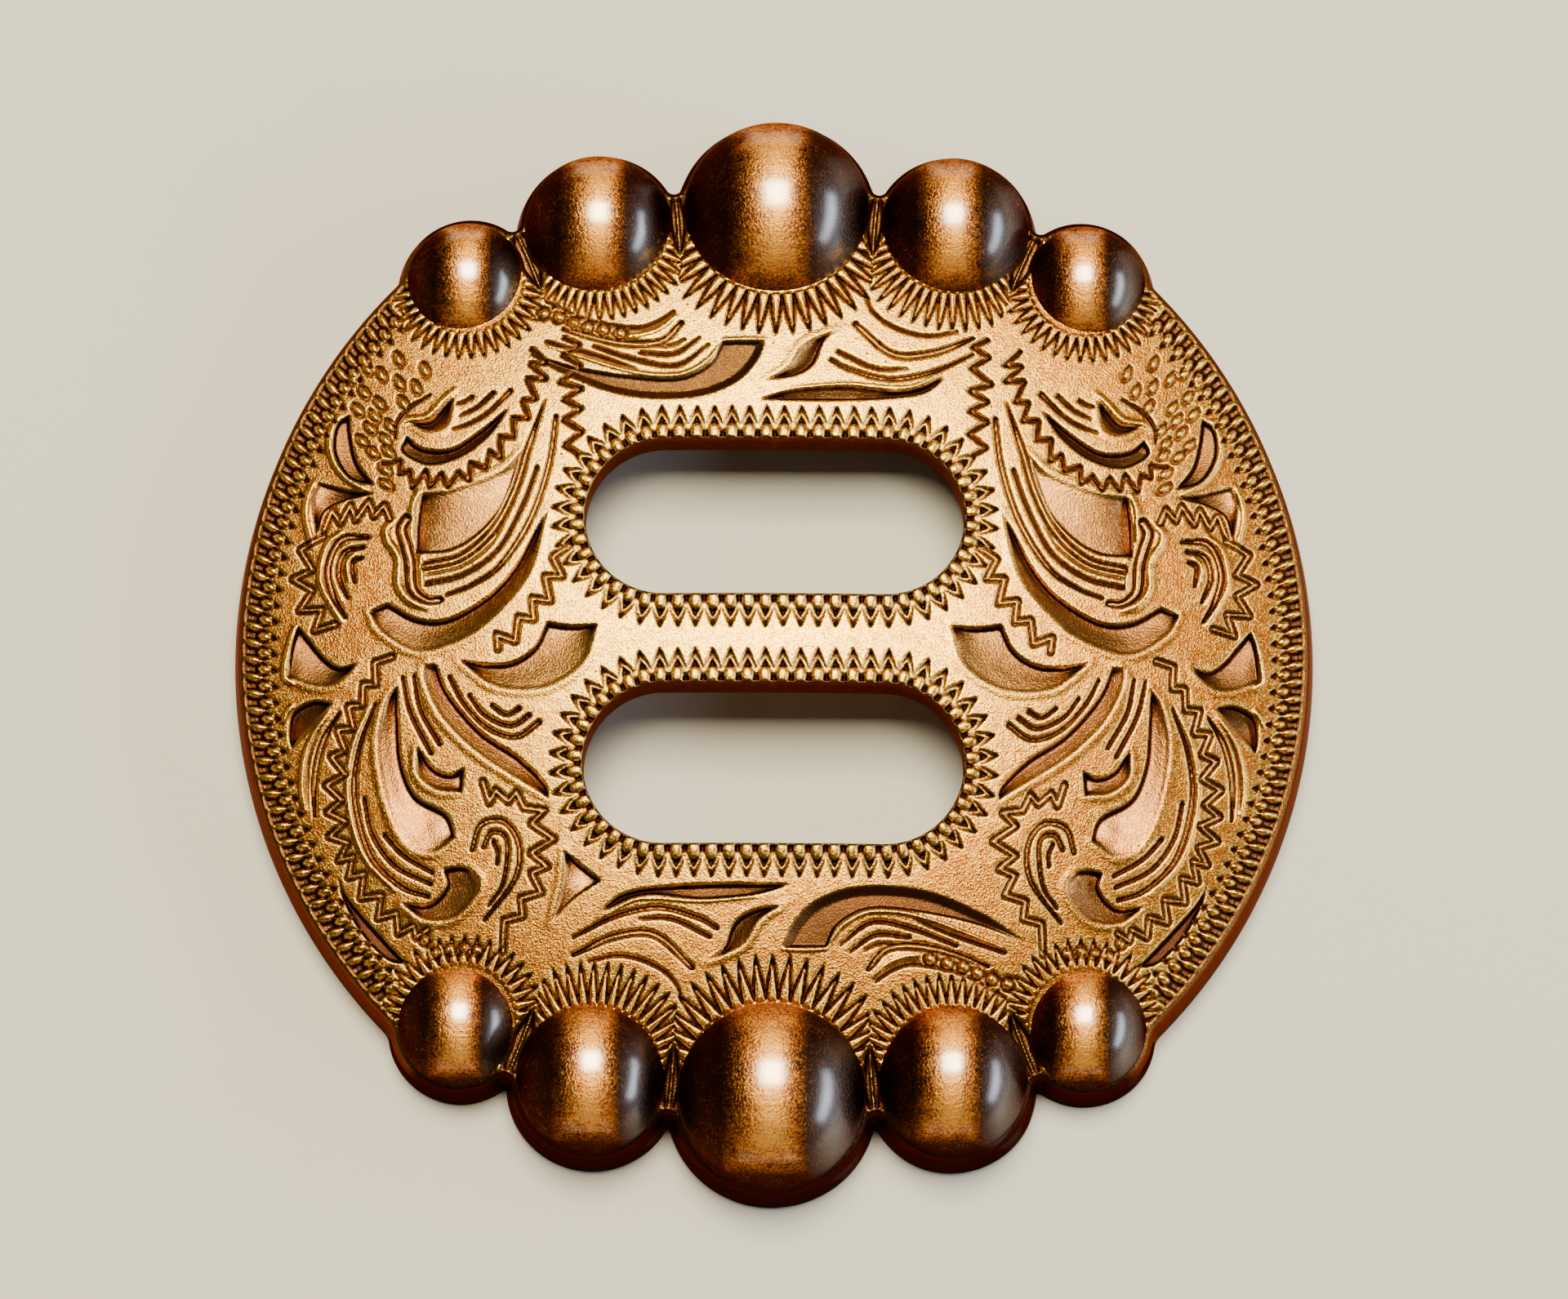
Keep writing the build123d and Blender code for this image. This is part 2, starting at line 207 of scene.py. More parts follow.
# A three-cornered pocket that only the lower left has
CORNER_POCKET = [
    ("steep", [(-7.3, -7.45), (-5.98, -8.5)]),
    ("low", [(-5.98, -8.5), (-6.95, -9.15), (-7.75, -10.0)]),
    ("fades", [(-7.75, -10.0), (-7.45, -8.7), (-7.3, -7.45)]),
]

# Grooves of the right-hand side: width at the start, middle and end, depth, and the middle line
SIDE_GROOVES = {
    "leaf_inner_comb": (0.06, 0.34, 0.34, 0.2, [
        (8.12, 8.7), (8.7, 6.9), (9.15, 5.4), (9.9, 3.95), (11.0, 3.0), (12.25, 2.72),
    ]),
    "leaf_inner_thread": (0.08, 0.12, 0.1, 0.1, [
        (9.5, 4.2), (10.0, 3.4), (10.6, 2.9), (11.2, 2.62), (12.2, 2.42),
    ]),
    "leaf_middle_comb": (0.18, 0.18, 0.18, 0.14, [
        (8.37, 6.2), (8.85, 4.85), (9.7, 3.25), (10.9, 2.38), (12.2, 2.08),
    ]),
    "leaf_outer_comb": (0.2, 0.22, 0.12, 0.16, [
        (7.72, 8.05), (7.95, 6.3), (8.57, 4.35), (9.6, 2.7), (10.6, 2.0), (11.5, 1.66),
    ]),
    "lobe_channel": (0.2, 0.42, 0.4, 0.24, [
        (11.7, 1.5), (12.2, 1.5), (12.7, 1.95), (12.8, 2.9), (12.95, 3.5), (13.12, 4.1), (12.95, 4.45),
    ]),
    "small_comb_1": (0.2, 0.18, 0.08, 0.15, [(9.35, 9.05), (10.1, 8.3), (10.7, 7.92), (11.35, 7.7)]),
    "small_comb_2": (0.19, 0.17, 0.08, 0.15, [(9.95, 9.0), (10.5, 8.5), (11.1, 8.2)]),
    "small_comb_3": (0.18, 0.15, 0.08, 0.13, [(10.7, 8.87), (11.0, 8.7), (11.25, 8.65)]),
    "small_leaf_back": (0.1, 0.18, 0.1, 0.14, [(12.2, 9.0), (13.0, 8.5), (13.35, 8.0), (13.4, 7.45)]),
    "arc_outer": (0.16, 0.26, 0.12, 0.18, [
        (14.3, 3.85), (15.25, 3.8), (15.7, 2.8), (15.5, 1.8), (15.05, 1.0),
    ]),
    "arc_middle": (0.14, 0.22, 0.12, 0.16, [(14.45, 3.5), (15.1, 3.35), (15.32, 2.6), (15.0, 1.7)]),
    "arc_inner": (0.12, 0.2, 0.12, 0.15, [(14.5, 3.12), (14.82, 2.95), (14.75, 2.25)]),
    "scroll_outer": (0.2, 0.19, 0.14, 0.15, [
        (8.2, -2.95), (9.0, -3.45), (10.0, -3.1), (10.85, -2.2), (11.35, -1.28),
    ]),
    "scroll_middle": (0.19, 0.18, 0.14, 0.15, [(8.55, -2.7), (9.2, -3.05), (10.1, -2.65), (10.65, -1.95)]),
    "scroll_inner": (0.18, 0.17, 0.16, 0.15, [(8.9, -2.45), (9.35, -2.66), (9.85, -2.33)]),
    "plume_comb_1": (0.12, 0.18, 0.18, 0.15, [(12.6, -1.2), (12.35, -2.4), (11.68, -3.62)]),
    "plume_comb_2": (0.12, 0.18, 0.18, 0.15, [(13.0, -1.25), (12.7, -2.5), (11.98, -3.93)]),
    "plume_arc_outer": (0.1, 0.22, 0.18, 0.16, [
        (13.95, -2.15), (14.5, -3.7), (14.65, -5.4), (14.1, -7.4), (13.0, -8.55), (12.05, -8.93),
    ]),
    "plume_arc_middle": (0.18, 0.19, 0.17, 0.15, [
        (14.3, -5.5), (14.0, -6.75), (13.2, -7.85), (11.95, -8.5),
    ]),
    "plume_arc_inner": (0.18, 0.18, 0.17, 0.15, [(13.57, -6.78), (12.9, -7.5), (11.9, -8.1)]),
    "rim_leaf": (0.08, 0.26, 0.12, 0.18, [(15.2, -2.4), (15.8, -3.4), (16.08, -4.7), (16.05, -6.0)]),
    "rim_leaf_thread": (0.06, 0.1, 0.06, 0.1, [(15.9, -3.1), (16.15, -3.6), (16.3, -4.3), (16.3, -5.6)]),
    "cane_outer": (0.2, 0.21, 0.14, 0.16, [
        (10.5, -7.35), (10.2, -6.5), (9.4, -6.4), (8.87, -7.2), (9.0, -8.4), (10.05, -9.8),
    ]),
    "cane_middle": (0.2, 0.19, 0.14, 0.15, [
        (10.1, -7.25), (9.8, -6.75), (9.28, -7.05), (9.4, -8.5), (9.9, -9.3),
    ]),
    "cane_inner": (0.18, 0.18, 0.16, 0.15, [(9.75, -7.1), (9.6, -7.45), (9.62, -7.85)]),
}

# Grooves of the bottom panel, in the same columns
PANEL_GROOVES = {
    "left_comb_1": (0.12, 0.2, 0.18, 0.15, [
        (-6.95, -10.45), (-5.5, -9.75), (-4.0, -9.45), (-2.6, -9.8), (-1.95, -10.15),
    ]),
    "left_comb_2": (0.08, 0.17, 0.17, 0.14, [(-4.65, -9.85), (-3.5, -9.85), (-2.2, -10.45)]),
    "left_comb_3": (0.14, 0.28, 0.2, 0.18, [(-6.95, -11.05), (-5.5, -10.45), (-4.1, -10.4), (-2.8, -11.5)]),
    "left_arc": (0.1, 0.16, 0.1, 0.14, [
        (-6.4, -11.3), (-5.5, -11.1), (-4.7, -11.2), (-3.9, -11.55), (-3.4, -12.0), (-3.2, -12.45),
    ]),
    "right_comb_1": (0.1, 0.18, 0.16, 0.15, [(2.37, -10.7), (3.5, -9.92), (5.0, -10.17), (6.4, -10.67)]),
    "right_comb_2": (0.06, 0.16, 0.14, 0.14, [(4.9, -9.8), (6.4, -10.35), (8.1, -10.88)]),
    "right_comb_3": (0.1, 0.18, 0.18, 0.15, [(2.7, -10.95), (3.6, -10.35), (4.75, -10.42)]),
    "right_comb_4": (0.1, 0.14, 0.12, 0.12, [(3.2, -10.9), (3.6, -10.7), (4.15, -10.65)]),
    "berry_arc": (0.2, 0.3, 0.16, 0.2, [(3.35, -11.5), (4.1, -10.8), (5.6, -10.8), (7.5, -11.35)]),
    "bead_arc": (0.12, 0.16, 0.14, 0.14, [
        (3.6, -11.95), (4.2, -11.55), (4.8, -11.35), (5.5, -11.4), (6.3, -11.55), (7.0, -11.8),
        (8.1, -12.4),
    ]),
}

# Stepped lines that a walked graver left, right-hand side: the corners of each line
STEPPED_LINES = {
    "beside_top_panel": [
        (7.45, 11.0), (6.95, 10.75), (7.5, 10.35), (6.9, 9.95), (7.6, 9.35), (6.85, 9.1),
        (7.45, 8.7), (6.85, 8.35), (7.45, 7.95), (6.8, 7.5), (7.4, 7.0), (6.95, 6.7),
    ],
    "under_leaf": [
        (7.2, 3.35), (7.78, 2.93), (7.43, 2.23), (8.05, 2.23), (7.85, 1.35), (8.5, 1.45),
        (8.42, 0.7), (8.97, 0.78), (9.07, -0.07), (9.72, 0.18), (9.67, -0.32),
    ],
    "over_leaf": [
        (8.6, 10.6), (8.1, 10.1), (8.65, 10.05), (8.1, 9.5), (8.75, 9.5), (8.45, 8.75), (8.9, 8.7),
        (8.7, 8.05), (9.25, 8.05), (9.2, 7.35), (9.7, 7.37), (9.65, 6.6), (10.05, 6.82), (10.18, 6.25),
        (10.72, 6.42), (10.75, 5.8), (11.15, 6.1), (11.5, 5.6), (11.75, 6.05), (12.13, 5.62), (12.3, 6.18),
        (12.75, 5.62), (12.87, 6.2), (13.22, 6.15), (13.22, 6.6), (13.8, 6.55),
    ],
    "over_arcs": [
        (13.55, 4.5), (13.75, 5.0), (14.1, 4.6), (14.3, 5.15), (14.75, 4.5), (14.95, 5.05), (15.3, 4.4),
        (15.6, 4.9), (15.9, 4.1),
    ],
    "beside_arcs": [
        (15.9, 3.95), (16.7, 3.5), (16.25, 2.75), (16.95, 2.45), (16.25, 2.0), (16.7, 1.3), (15.9, 1.3),
        (16.15, 0.55), (15.4, 0.75),
    ],
    "beside_plume": [
        (13.4, -0.5), (14.0, -0.68), (13.95, -1.45), (14.4, -1.45), (14.42, -2.18), (14.92, -2.2),
        (14.72, -3.0), (15.3, -3.0), (15.0, -3.75), (15.5, -3.95), (15.0, -4.6), (15.68, -4.95),
        (15.1, -5.5), (15.62, -5.9), (14.95, -6.25), (15.55, -6.75), (14.88, -7.0), (15.2, -7.6),
        (14.7, -7.5), (14.85, -8.2), (14.3, -8.1), (14.42, -8.92), (13.68, -8.87), (13.8, -9.65),
        (13.15, -9.5), (13.08, -10.2), (12.55, -9.95), (12.45, -10.35), (12.05, -10.1),
    ],
    "round_cane": [
        (10.15, -5.02), (9.92, -5.75), (9.7, -5.32), (9.25, -5.72), (8.97, -5.4), (8.7, -5.95),
        (8.0, -6.05), (8.45, -6.5), (7.65, -7.05), (8.45, -7.52), (7.88, -8.0), (8.42, -8.22),
        (8.08, -8.9), (8.8, -9.1), (8.72, -9.7), (9.37, -9.85), (9.42, -10.9),
    ],
}

# Those of them that have no light core, and those where every other step carries a raised bar
PLAIN_STEPS = ("beside_top_panel", "over_leaf")
BARRED_STEPS = ("over_arcs", "beside_arcs", "beside_plume")

# Raised ridges of the right-hand side: width, height, and the middle line
SIDE_RIDGES = {
    "lobe_lip": (0.34, 0.11, [
        (13.4, 4.4), (13.65, 4.1), (13.6, 3.7), (13.4, 3.4), (13.2, 3.0), (13.2, 2.6), (13.2, 2.1),
        (13.0, 1.7), (12.65, 1.4), (12.2, 1.25),
    ]),
    "leaf_end_lip": (0.24, 0.1, [(12.55, 5.4), (12.7, 5.0), (12.75, 4.5), (12.77, 3.6)]),
    "comb_end_lip": (0.2, 0.08, [(12.42, 3.05), (12.38, 2.5), (12.35, 1.9)]),
    "small_leaf_lip": (0.26, 0.08, [
        (11.3, 9.15), (11.7, 8.8), (12.1, 8.35), (12.4, 8.17), (13.0, 8.1), (13.3, 7.85),
    ]),
    "rim_crescent_lip": (0.26, 0.09, [
        (15.45, 8.3), (15.67, 7.8), (15.72, 7.2), (15.47, 6.5), (15.0, 5.95), (14.4, 5.6),
    ]),
    "upper_fan_lip": (0.28, 0.11, [(16.3, 5.9), (16.5, 5.2), (16.5, 4.6), (16.25, 3.6)]),
    "arc_lip": (0.24, 0.09, [(15.25, 4.05), (15.75, 3.6), (15.98, 2.6), (15.85, 2.0), (15.2, 0.85)]),
    "arc_inner_lip": (0.16, 0.05, [(14.9, 3.6), (15.4, 3.3), (15.55, 2.6), (15.2, 1.6)]),
    "arc_core": (0.16, 0.05, [(14.75, 3.25), (15.02, 2.95), (14.95, 2.3)]),
    "middle_fan_lip": (0.24, 0.11, [
        (16.85, 0.65), (17.02, 0.1), (17.15, -0.5), (17.18, -1.05), (16.9, -1.3),
    ]),
    "lower_fan_lip": (0.22, 0.09, [(16.9, -2.1), (17.1, -2.35), (17.2, -2.65)]),
    "rim_leaf_lip": (0.22, 0.09, [
        (15.6, -2.4), (16.0, -2.95), (16.3, -3.5), (16.48, -4.2), (16.52, -5.0), (16.4, -5.8),
    ]),
    "plume_back_lip": (0.2, 0.06, [(14.2, -2.3), (14.75, -3.7), (14.9, -5.4), (14.35, -7.4), (13.2, -8.7)]),
}

# Raised ridges of the bottom panel, in the same columns
PANEL_RIDGES = {
    "crescent_lip": (0.14, 0.07, [
        (2.0, -10.6), (2.4, -10.1), (3.0, -9.7), (3.6, -9.55), (4.6, -9.6), (5.8, -9.9), (8.0, -10.7),
    ]),
    "crescent_foot": (0.12, 0.07, [(0.35, -10.88), (1.1, -10.9), (1.85, -10.87)]),
    "rope_arc": (0.2, 0.06, [(3.55, -11.75), (4.0, -11.35), (4.6, -11.1), (5.2, -11.03)]),
    "lens_lip": (0.1, 0.05, [(-5.8, -9.68), (-4.6, -9.15), (-2.5, -9.24), (-0.6, -9.08)]),
}

# Small beads: radius, height, how far they are stretched, and the places
SIDE_BEADS = {
    "scale_beads": (0.15, 0.15, 1.9, [
        (12.4, 9.95), (13.3, 9.5), (13.15, 8.75), (14.0, 8.75), (14.3, 7.85), (13.6, 7.9), (14.2, 6.95),
        (13.65, 6.95), (13.75, 6.3), (13.95, 9.85), (14.55, 9.2), (14.95, 9.75), (13.35, 10.4),
        (14.75, 8.55), (14.6, 7.4), (12.7, 9.3), (13.7, 5.75), (14.15, 8.3), (13.75, 7.4), (14.45, 10.1),
    ]),
    "third_berry_beads": (0.17, 0.1, 1.0, [
        (10.3, -10.85), (10.75, -10.75), (11.25, -10.8), (11.75, -10.9), (12.15, -10.45),
    ]),
}
PANEL_BEADS = {
    "rope_beads": (0.2, 0.14, 1.0, [
        (5.5, -11.15), (6.1, -11.3), (6.65, -11.4), (7.15, -11.6), (7.65, -11.8), (8.2, -11.95),
    ]),
}

# Berries of one edge, from the middle one outwards
# Columns: radius, inset of its centre from the disc's edge, gap to the berry before, centre height
BERRIES = [
    (3.35, 3.3, 0.0, 1.9),
    (2.65, 2.6, 0.31, 1.9),
    (2.2, 1.85, 0.15, 1.4),
]

# Collar of cuts round each berry, from the middle one outwards: inner and outer reach, pitch of the cuts
COLLARS = [
    (3.5, 4.75, 0.62),
    (2.8, 4.0, 0.5),
    (2.3, 3.05, 0.48),
]


def sizes():
    """The sizes that the sidebar shows."""
    return bpy.context.scene.concho_sizes


def finish():
    """The colours and gloss that the sidebar shows."""
    return bpy.context.scene.concho_finish


def size_property(name, description, millimetres):
    """A length that the sidebar shows."""
    return FloatProperty(name=name, description=description, default=millimetres * MM, unit="LENGTH")


def share_property(name, description, value, low, high):
    """A plain number that the sidebar shows as a slider."""
    return FloatProperty(
        name=name, description=description, default=value, min=low, max=high, subtype="FACTOR"
    )


def colour_property(name, description, colour):
    """A colour that the sidebar shows."""
    return FloatVectorProperty(
        name=name, description=description, default=colour, size=3, min=0.0, max=1.0, subtype="COLOR"
    )


class ConchoSizes(PropertyGroup):
    """Sizes of the casting, in metres."""

    crown: size_property("Crown", "Height of the middle of the face above the floor", 4.6)
    rim: size_property("Rim", "Height of the face at the disc's edge, before it is rounded", 1.7)
    wall: size_property("Wall", "Thickness of the middle, over the hollow back", 1.9)
    foot: size_property("Foot", "Width of the flat ring round the hollow back", 1.7)
    edge_round: size_property("Edge round", "Radius between the face and the outer wall", 0.32)
    slot_length: size_property("Slot length", "Length of a strap slot, round ends included", 13.3)
    slot_width: size_property("Slot width", "Width of a strap slot", 5.6)
    slot_spacing: size_property("Slot spacing", "Distance between the slots' middle lines", 8.8)
    cut_scale: share_property("Cut depth", "Depth of the engraving, 1 as on the casting", 1.0, 0.0, 2.0)
    pitch: size_property("Mesh pitch", "Spacing of the grid that the face is first drawn on", 0.042)
    triangles: IntProperty(
        name="Triangles", description="Triangles left in the whole casting's mesh",
        default=720000, min=20000, max=760000,
    )


class ConchoFinish(PropertyGroup):
    """Colours and gloss of the antiqued copper, some of them painted highlight, sheen and shade."""

    copper: colour_property("Copper", "Bare brushed copper on the high parts", (0.56, 0.210, 0.030))
    # Gold also carries painted highlight, round the crown and along the crests
    gold: colour_property("Gold", "Paler tint where the plate is rubbed most", (0.95, 0.58, 0.110))
    red: colour_property("Red copper", "Redder plate along both sides", (0.39, 0.118, 0.013))
    tan: colour_property("Tan", "Dull tan of the stained floors of the cuts", (0.36, 0.150, 0.052))
    # Patina also stands for painted shade at the foot of the walls
    patina: colour_property("Patina", "Near-black antiquing in the cuts", (0.036, 0.011, 0.006))
    # Berry: the brushed band on top, also painted highlight; berry flank: its redder edge; berry side:
    # painted shade round the sides
    berry: colour_property("Berry", "Brushed bronze on top of the berries", (1.0, 0.43, 0.040))
    berry_red: colour_property("Berry flank", "Redder, where the brushing wears off", (0.44, 0.13, 0.022))
    berry_dark: colour_property("Berry side", "Blackened, round the berries' sides", (0.05, 0.018, 0.009))
    # Berry sheen: painted reflection of the cool side lamp
    berry_grey: colour_property("Berry sheen", "Greyer, down their right sides", (0.08, 0.06, 0.052))
    # Berry underside: painted shade
    berry_under: colour_property("Berry underside", "Red-brown under them", (0.036, 0.010, 0.004))
    gloss: share_property("Roughness", "Roughness of the brushed face", 0.29, 0.05, 1.0)
    floor: colour_property("Floor", "Colour of the pale floor", (0.72, 0.69, 0.65))


# Drawing on the face


def smooth_line(points, spans=8):
    """A smooth line through a few points, as an array of close points."""
    points = np.array(points, float)
    if len(points) < 3:
        return points
    ends = np.vstack([2 * points[0] - points[1], points, 2 * points[-1] - points[-2]])
    share = np.linspace(0, 1, spans, endpoint=False)[:, None]
    runs = []
    for a, b, c, d in zip(ends, ends[1:], ends[2:], ends[3:]):
        bend = (c - a) * share + (2 * a - 5 * b + 4 * c - d) * share**2
        runs.append(b + 0.5 * (bend + (3 * b - a - 3 * c + d) * share**3))
    runs.append(points[-1:])
    return np.vstack(runs)


def distance(x, y, line):
    """How far each place is from a line, and how far along the line its nearest point is, from 0 to 1."""
    nearest = np.full(x.shape, np.inf)
    along = np.zeros(x.shape)
    lengths = np.hypot(*(line[1:] - line[:-1]).T)
    total = lengths.sum()
    run = 0.0
    for (ax, ay), (bx, by), length in zip(line, line[1:], lengths):
        ux = (bx - ax) / length
        uy = (by - ay) / length
        reach = np.clip((x - ax) * ux + (y - ay) * uy, 0, length)
        gap = np.hypot(x - ax - reach * ux, y - ay - reach * uy)
        closer = gap < nearest
        nearest = np.where(closer, gap, nearest)
        along = np.where(closer, (run + reach) / total, along)
        run += length
    return nearest, along


def inside(x, y, ring):
    """Whether each place lies inside a closed ring of points."""
    crossings = np.zeros(x.shape, bool)
    for (ax, ay), (bx, by) in zip(ring, np.roll(ring, -1, axis=0)):
        if ay == by:
            continue
        spans = (y > min(ay, by)) & (y <= max(ay, by))
        crossings ^= spans & (x < ax + (y - ay) * (bx - ax) / (by - ay))
    return crossings


def blurred(field, radius):
    """A field averaged with its neighbours over a bell of this radius, in steps of the grid."""
    reach = int(ceil(3 * radius))
    weights = np.exp(-0.5 * (np.arange(-reach, reach + 1) / radius) ** 2)
    weights /= weights.sum()
    for axis in (0, 1):
        padded = np.pad(field, [(reach, reach) if a == axis else (0, 0) for a in (0, 1)], mode="edge")
        rows = field.shape[axis]
        field = sum(w * np.take(padded, range(i, i + rows), axis=axis) for i, w in enumerate(weights))
    return field


def berry_places():
    """Every berry of both edges: x, y, radius, centre height and its row in the table, in millimetres."""
    places = []
    angle = 0.0
    before = None
    for row, (radius, inset, gap, height) in enumerate(BERRIES):
        reach = RADIUS - inset
        if before:
            apart = before[0] + radius + gap
            angle += acos((before[1] ** 2 + reach**2 - apart**2) / (2 * before[1] * reach))
        for side in (-1, 1) if before else (1,):
            for edge in (-1, 1):
                places.append((side * reach * sin(angle), edge * reach * cos(angle), radius, height, row))
        before = (radius, reach)
    return places


def placed(side_rows, panel_rows=()):
    """Rows of two tables with their turns: as drawn, and then the side mirrored or the panel turned."""
    for rows, other in ((side_rows, (-1, 1)), (panel_rows, (-1, -1))):
        for name in rows:
            for turn in ((1, 1), other):
                yield name, rows[name], np.array(turn)


def oval(across, half_width, along, half_length):
    """Height of a round bead of height 1, nought outside it."""
    return np.sqrt(np.clip(1 - (across / half_width) ** 2 - (along / half_length) ** 2, 0, 1))


def sawtooth(run):
    """0 in the middle of each tooth and 1 between two teeth, for a run that counts the teeth."""
    return np.abs((run + 0.5) % 1 - 0.5) * 2


class Face:
    """The outline of the casting and the relief of its face, in millimetres, on a fine square grid."""

    # The grid's margin round the disc, the lobes under the berries, and the band along the outline
    margin = 1.0
    lobe_margin = 0.35
    lobe_fillet = 0.15
    band = 1.4

    # How finely the outline is traced, how many of its steps are measured at once, and how sharply
    outline_steps = 2400
    outline_run = 24
    halvings = 24

    # Depth of both toothed borders, width of their walls, and how far out their cuts reach
    tooth_depth = 0.19
    tooth_wall = 0.05
    tooth_tip = 1.24

    # Beads of the rim's border, in the mouth of each cut and between two: half-width, middle,
    # half-length and height
    rim_beads = ((0.2, 0.72, 0.29, 0.27), (0.18, 0.27, 0.36, 0.25))

    def __init__(self):
        size = sizes()
        self.berries = berry_places()
        self.row = sorted((x, y) for x, y, *_ in self.berries if y > 0)
        self.spread = atan2(*self.row[-1])
        self.radius = RADIUS
        self.crown = size.crown / MM
        self.slot_half = (size.slot_length - size.slot_width) / MM / 2
        self.slot_radius = size.slot_width / MM / 2
        self.slot_offset = size.slot_spacing / MM / 2
        rise = self.crown - size.rim / MM
        self.ball = (self.radius**2 + rise**2) / (2 * rise)
        self.pitch = size.pitch / MM
        self.reach = self.radius + self.margin
        line = np.arange(-self.reach, self.reach + self.pitch / 2, self.pitch)
        self.x, self.y = np.meshgrid(line, line)
        self.cut = np.zeros(self.x.shape)
        self.raised = np.zeros(self.x.shape)
        self.tint = np.zeros(self.x.shape)
        self.dull = np.zeros(self.x.shape)
        self.edge = self.edge_field()

    def dome(self, x, y):
        """Height of the plain domed face."""
        return self.crown - self.ball + np.sqrt(self.ball**2 - x**2 - y**2)

    def plate_gap(self, x, y):
        """How far inside the disc a place is; between the berries the disc ends where lines join them."""
        gap = self.radius - np.hypot(x, y)
        away = np.abs(y)
        between = np.arctan2(np.abs(x), away) < self.spread
        for (ax, ay), (bx, by) in zip(self.row, self.row[1:]):
            behind = ((bx - ax) * (ay - away) - (by - ay) * (ax - x)) / np.hypot(bx - ax, by - ay)
            gap = np.where(between, np.minimum(gap, behind), gap)
        return gap

    def within_outline(self, x, y):
        """Positive inside the outline: the plate and its lobes, with the corners between them rounded."""
        gap = self.plate_gap(x, y)
        for bx, by, radius, _, _ in self.berries:
            lobe = radius + self.lobe_margin - np.hypot(x - bx, y - by)
            both = np.maximum(gap, lobe)
            short = np.hypot(np.maximum(self.lobe_fillet + gap, 0), np.maximum(self.lobe_fillet + lobe, 0))
            gap = np.where((gap < 0) & (lobe < 0), np.maximum(both, short - self.lobe_fillet), both)
        return gap

    def edge_field(self):
        """True distance of the grid's places inside the outline, up to the width of a band along it."""
        turn = np.linspace(0, 2 * pi, self.outline_steps + 1)
        low = np.full(turn.shape, self.radius - 4)
        high = np.full(turn.shape, self.radius + 2)
        for _ in range(self.halvings):
            middle = (low + high) / 2
            inner = self.within_outline(middle * np.cos(turn), middle * np.sin(turn)) > 0
            low = np.where(inner, middle, low)
            high = np.where(inner, high, middle)
        outline = np.stack([low * np.cos(turn), low * np.sin(turn)], 1)
        reach = np.full(self.x.shape, self.band)
        for start in range(0, self.outline_steps, self.outline_run):
            run = outline[start:start + self.outline_run + 1]
            place = self.window(run, self.band)
            gap, _ = distance(self.x[place], self.y[place], run)
            reach[place] = np.minimum(reach[place], gap)
        return np.where(self.within_outline(self.x, self.y) > 0, reach, -reach)

    def edge_gap(self, x, y):
        """How far inside the outer edge a place is, up to the width of the band."""
        return sampled(self.edge, self, x, y)

    def slot_gap(self, x, y):
        """How far outside the nearer slot's edge a place is, and how far round that edge it lies."""
        away = np.abs(y) - self.slot_offset
        past = np.maximum(np.abs(x) - self.slot_half, 0)
        out = np.hypot(past, away) - self.slot_radius
        turn = np.arctan2(past, np.abs(away))
        round_edge = self.slot_radius * turn
        return out, np.where(past > 0, self.slot_half + round_edge, np.abs(x))

    def window(self, points, margin):
        """The part of the grid round some points."""
        low = np.floor((points.min(axis=0) - margin + self.reach) / self.pitch).astype(int)
        high = np.ceil((points.max(axis=0) + margin + self.reach) / self.pitch).astype(int) + 1
        low = np.maximum(low, 0)
        return slice(low[1], high[1]), slice(low[0], high[0])

    def deepen(self, place, depth, tint):
        """Cut the face to this depth wherever it isn't deeper already, and stain it this much."""
        self.cut[place] = np.maximum(self.cut[place], depth)
        self.tint[place] = np.maximum(self.tint[place], tint)

    def pocket(self, sides, turn, dull=0.0):
        """A pocket whose floor slopes from its deep sides up to those that fade; dull darkens the floor."""
        fading = SIDES["fades"][0]
        stain_reach = 0.6
        lip_width = 0.44
        lip_height = 0.03
        lines = [(SIDES[kind], smooth_line(points) * turn) for kind, points in sides]
        ring = np.vstack([line[:-1] for _, line in lines])
        place = self.window(ring, 0.1)
        x, y = self.x[place], self.y[place]
        within = inside(x, y, ring)
        floor = np.zeros(x.shape)
        share = np.zeros(x.shape)
        wall = np.ones(x.shape)
        tint = np.ones(x.shape)
        for (depth, width), line in lines:
            gap, _ = distance(x, y, line)
            weight = (gap + 0.03) ** -1.5
            floor += weight * depth
            share += weight
            wall = np.minimum(wall, np.clip(gap / width, 0, 1))
            if depth <= fading:
                tint = np.minimum(tint, 0.5 + np.clip(gap / stain_reach, 0, 0.5))
                self.ridge(lip_width, lip_height, line)
        self.deepen(place, np.where(within, floor / share * wall, 0), np.where(within, tint, 0))
        self.dull[place] = np.maximum(self.dull[place], np.where(within, dull * (2 * tint - 1), 0))

    def groove(self, start, middle, end, depth, line, corner=0.045):
        """A groove whose width changes along it; where it is wide, a core rises between two dark lines."""
        core_edge = 0.04
        core_height = 0.75
        core_stain = 0.8
        place = self.window(line, max(start, middle, end))
        gap, along = distance(self.x[place], self.y[place], line)
        first = np.clip(1 - 2 * along, 0, 1)
        last = np.clip(2 * along - 1, 0, 1)
        width = middle + (start - middle) * first**2 + (end - middle) * last**2
        wall = np.clip((width / 2 - gap) / corner, 0, 1)
        core = np.clip((width / 2 - gap - 2 * corner) / core_edge + 0.5, 0, 1) * core_height
        self.deepen(place, depth * wall * (1 - core), wall * (1 - core_stain * core))

    def ridge(self, width, height, line):
        """A raised rib with a round back."""
        place = self.window(line, width)
        gap, along = distance(self.x[place], self.y[place], line)
        swell = np.clip(4 * np.minimum(along, 1 - along) + 0.5, 0, 1)
        rib = np.clip(1 - (2 * gap / width) ** 2, 0, 1) * height * swell
        self.raised[place] = np.maximum(self.raised[place], rib)

